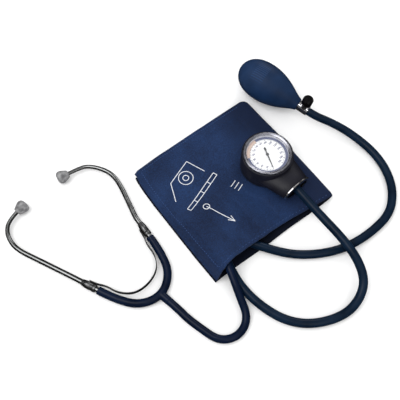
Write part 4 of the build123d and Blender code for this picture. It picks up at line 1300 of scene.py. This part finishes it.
def make_leaf(name, side):
    """Half of the flat spring: a strip on edge along a smooth line from the middle to the ferrule."""
    end = Vector((*ARM_POINTS[0], 0))
    run = (end - Vector((*ARM_POINTS[1], 0))).normalized()
    inward = Vector((-run.y, run.x, 0))
    offset = FERRULE_RADIUS + LEAF_GAP + LEAF_THICK / 2
    outer = end + run * 12.0 + inward * offset
    inner = end + run * 4.5 + inward * (offset + 0.05)
    right = [outer, inner, Vector((27.4, 44.3, 0)), Vector((25.0, 31.0, 0)), Vector((15.5, 19.0, 0)),
             Vector((0, 15.5, 0))]
    strip = line_of("leaf_" + name, [p * MM for p in both_sides(right)], 0.0, resolution=12)
    strip.data.extrude = LEAF_WIDTH / 2 * MM
    strip.data.use_fill_caps = False
    strip = to_mesh(strip)
    strip.name = "leaf_" + name
    apply_modifier(strip, "SOLIDIFY", "strip", thickness=LEAF_THICK * MM, offset=0)
    apply_modifier(strip, "BEVEL", "edge", width=0.15 * MM, segments=2, limit_method="ANGLE")
    settle(strip, Matrix.Translation((0, 0, ARM_HEIGHT * MM)))
    half = keep_side(strip, "leaf_spring_" + name, 0.0, side)
    bpy.data.objects.remove(strip)
    settle(half, YOKE_TURN)
    smooth(half, 40)
    return half


class PRESSURE_OT_yoke(bpy.types.Operator):
    """Add the rubber Y and the leaf spring between the ear tubes"""
    bl_idname = "pressure.yoke"
    bl_label = "Rubber Y and spring"

    def execute(self, context):
        colour = context.scene.pressure_hoses.scope_rubber
        rubber = make_rubber("yoke_rubber", colour, 0.32)
        line = both_sides([Vector((x, y, ARM_HEIGHT)) * MM for x, y in ARM_POINTS])
        whole = to_mesh(line_of("arms", line, ARM_RADIUS * MM, resolution=14))
        middle = make_yoke_middle(whole)
        dress(middle, rubber, "base")
        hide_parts("y_tube")
        for name, side in HALVES:
            arm = keep_side(whole, "yoke_arm_" + name, 7.5, side)
            settle(arm, YOKE_TURN)
            smooth(arm, 60)
            arm.data.materials.append(rubber)
            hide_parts("y_tube")
            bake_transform(arm)
        bpy.data.objects.remove(whole)
        steel = make_chrome("spring_steel", (0.05, 0.05, 0.052), 0.3)
        for name, side in HALVES:
            leaf = make_leaf(name, side)
            leaf.data.materials.append(steel)
            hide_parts("leaf_spring")
            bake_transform(leaf)
        return {"FINISHED"}


def make_ear_tube(name, side, values):
    """Bent tube from inside the rubber arm to the ear, thinner towards its end."""
    end, run = arm_end()
    line = [end - run * 10.0, end + run * 10.0, end + run * 21.0, end + run * 26.0]
    points = [p * Vector((side, 1, 1)) for p in line] + [Vector(p) for p in EAR_POINTS[name]]
    thick = values.tube_start
    thin = values.tube_end / thick
    count = len(points)
    radii = [1.0 + (thin - 1.0) * soft_step(3, count - 1, i) for i in range(count)]
    tube = to_mesh(line_of("ear_tube_line_" + name, [p * MM for p in points], thick, radii, resolution=12))
    settle(tube, YOKE_TURN)
    smooth(tube, 50)
    tube.name = "ear_pipe_" + name
    return tube


def make_ferrule(name, side):
    """Stepped sleeve on the end of a rubber arm."""
    end, run = arm_end()
    flip = Vector((side, 1, 1))
    place = YOKE_TURN @ along_direction((end + run * 3.0) * flip * MM, run * flip)
    wide = FERRULE_RADIUS
    return turned("ferrule_sleeve_" + name, [
        (2.6, 0.0), (3.3, 0.0), (3.65, 0.35), (wide, 0.9), (wide, 3.2), (3.5, 3.5), (3.5, 4.3), (wide, 4.6),
        (wide, 10.2), (3.55, 10.9), (3.0, 14.2), (2.85, 14.8), (2.6, 15.0)], place, sides=40, ring=True)


def make_ear_tip(name, values):
    """Olive-shaped tip with its sound hole, pushed over the tube's end."""
    last = Vector(EAR_POINTS[name][-1])
    towards = (last - Vector(EAR_POINTS[name][-2])).normalized()
    place = YOKE_TURN @ along_direction((last - towards * 4.0) * MM, towards)
    wide = values.tip_radius / MM
    long = values.tip_length / MM
    return turned("ear_olive_" + name, [
        (2.3, 0.0), (0.50 * wide, 0.0), (0.58 * wide, 0.03 * long), (0.66 * wide, 0.12 * long),
        (0.80 * wide, 0.30 * long), (0.93 * wide, 0.48 * long), (wide, 0.64 * long),
        (0.985 * wide, 0.76 * long), (0.88 * wide, 0.88 * long), (0.70 * wide, 0.96 * long),
        (0.45 * wide, long), (1.7, 0.985 * long), (1.5, 0.9 * long), (1.5, 4.0), (2.3, 3.8)],
        place, sides=40, ring=True, angle=50)


class PRESSURE_OT_ear_pieces(bpy.types.Operator):
    """Add both ear tubes with their ferrules and tips"""
    bl_idname = "pressure.ear_pieces"
    bl_label = "Ear tubes"

    def execute(self, context):
        values = context.scene.pressure_headset
        steel = make_chrome("ear_chrome", (0.25, 0.255, 0.255), 0.18)
        sleeve = make_chrome("sleeve_chrome", (0.17, 0.172, 0.175), 0.3)
        soft = make_tip_rubber()
        for name, side in HALVES:
            tube = make_ear_tube(name, side, values)
            dress(tube, steel, "ear_" + name)
            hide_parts("ear_tube_" + name)
            ferrule = make_ferrule(name, side)
            dress(ferrule, sleeve, "ear_" + name)
            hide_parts("ferrule_" + name)
            tip = make_ear_tip(name, values)
            dress(tip, soft, "ear_" + name)
            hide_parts("ear_tip_" + name)
        return {"FINISHED"}


# Stage
def aim(place, target):
    """The turn of a camera or light that looks from a place at a target."""
    return (target - place).to_track_quat("-Z", "Y").to_euler()


def make_camera(lens):
    """Camera at the photograph's place and angle."""
    place = Vector(CAMERA_PLACE) * MM
    deselect()
    bpy.ops.object.camera_add(location=place)
    camera = bpy.context.object
    camera.name = "studio_camera"
    camera.data.lens = lens
    camera.data.sensor_width = 36.0
    camera.data.clip_start = 0.01
    camera.rotation_euler = aim(place, Vector(CAMERA_TARGET) * MM)
    bpy.context.scene.camera = camera


def make_floor(size):
    """Pale floor that polished pieces don't mirror."""
    deselect()
    bpy.ops.mesh.primitive_plane_add(size=size, location=(0, 0, 0))
    floor = bpy.context.object
    floor.name = "floor"
    edit(floor)
    bpy.ops.mesh.subdivide(number_cuts=3)
    close_edit()
    settle(floor)
    floor.data.materials.append(make_floor_paint())
    floor.visible_glossy = False


def make_lights(key_power, rim_power):
    """Large soft light from above, one from the far right and a weak one from the front."""
    lights = [
        ("key", (-0.45, 0.15, 0.95), 0.7, key_power),
        ("rim", (0.85, 0.55, 0.55), 0.35, rim_power),
        ("fill", (-0.2, -0.9, 0.8), 0.5, key_power * 0.3),
    ]
    for name, spot, size, power in lights:
        bpy.ops.object.light_add(type="AREA", location=spot)
        light = bpy.context.object
        light.name = name + "_light"
        light.data.size = size
        light.data.energy = power
        light.rotation_euler = aim(Vector(spot), Vector((0, 0, 0)))


def make_sky(strength):
    """Even white light all round, which polished pieces see as bands of grey."""
    world = bpy.data.worlds.new("pale_sky")
    world.use_nodes = True
    nodes = world.node_tree.nodes
    links = world.node_tree.links
    back = nodes["Background"]
    back.inputs["Strength"].default_value = strength
    split = nodes.new("ShaderNodeSeparateXYZ")
    links.new(nodes.new("ShaderNodeTexCoord").outputs["Generated"], split.inputs[0])
    bands = nodes.new("ShaderNodeValToRGB")
    ramp = bands.color_ramp.elements
    ramp[0].color = (0.02, 0.02, 0.02, 1.0)
    ramp[1].color = (0.35, 0.35, 0.35, 1.0)
    for height, grey in ((0.30, 0.02), (0.45, 0.30), (0.58, 0.06), (0.78, 0.035), (0.9, 0.6)):
        ramp.new(height).color = (grey, grey, grey, 1.0)
    links.new(split.outputs[2], bands.inputs[0])
    seen = nodes.new("ShaderNodeMix")
    seen.data_type = "RGBA"
    seen.inputs[6].default_value = (1.0, 1.0, 1.0, 1.0)
    links.new(bands.outputs[0], seen.inputs[7])
    links.new(nodes.new("ShaderNodeLightPath").outputs["Is Glossy Ray"], seen.inputs[0])
    links.new(seen.outputs[2], back.inputs["Color"])
    bpy.context.scene.world = world


class PRESSURE_OT_stage(bpy.types.Operator):
    """Add the camera, the pale floor and the soft lights"""
    bl_idname = "pressure.stage"
    bl_label = "Camera, floor and lights"

    def execute(self, context):
        values = context.scene.pressure_stage
        make_camera(values.lens)
        make_floor(values.floor_size)
        make_lights(values.key_power, values.rim_power)
        make_sky(values.sky)
        context.scene.view_settings.view_transform = "Standard"
        return {"FINISHED"}


class PRESSURE_PT_panel(bpy.types.Panel):
    """Lists the operators in the order in which they run"""
    bl_idname = "PRESSURE_PT_panel"
    bl_label = "Pressure Set"
    bl_space_type = "VIEW_3D"
    bl_region_type = "UI"
    bl_category = "Pressure Set"

    def draw(self, context):
        for operator in OPERATORS:
            self.layout.operator(operator.bl_idname)


GROUPS = {
    "pressure_stage": StageValues,
    "pressure_cuff": CuffValues,
    "pressure_hoses": HoseValues,
    "pressure_gauge": GaugeValues,
    "pressure_bulb": BulbValues,
    "pressure_headset": HeadsetValues,
}
OPERATORS = [
    PRESSURE_OT_stage, PRESSURE_OT_cords, PRESSURE_OT_cuff, PRESSURE_OT_cuff_inside, PRESSURE_OT_gauge_case,
    PRESSURE_OT_gauge_face, PRESSURE_OT_movement, PRESSURE_OT_bulb, PRESSURE_OT_yoke, PRESSURE_OT_ear_pieces,
]


def register():
    for group in GROUPS.values():
        bpy.utils.register_class(group)
    for operator in OPERATORS:
        bpy.utils.register_class(operator)
    bpy.utils.register_class(PRESSURE_PT_panel)
    for name, group in GROUPS.items():
        setattr(bpy.types.Scene, name, PointerProperty(type=group))


def unregister():
    for name in GROUPS:
        delattr(bpy.types.Scene, name)
    bpy.utils.unregister_class(PRESSURE_PT_panel)
    for operator in reversed(OPERATORS):
        bpy.utils.unregister_class(operator)
    for group in reversed(list(GROUPS.values())):
        bpy.utils.unregister_class(group)


def main():
    register()
    bpy.ops.pressure.stage()
    bpy.ops.pressure.cords()
    bpy.ops.pressure.cuff()
    bpy.ops.pressure.cuff_inside()
    bpy.ops.pressure.gauge_case()
    bpy.ops.pressure.gauge_face()
    bpy.ops.pressure.movement()
    bpy.ops.pressure.bulb()
    bpy.ops.pressure.yoke()
    bpy.ops.pressure.ear_pieces()
    deselect()


if __name__ == "__main__":
    main()
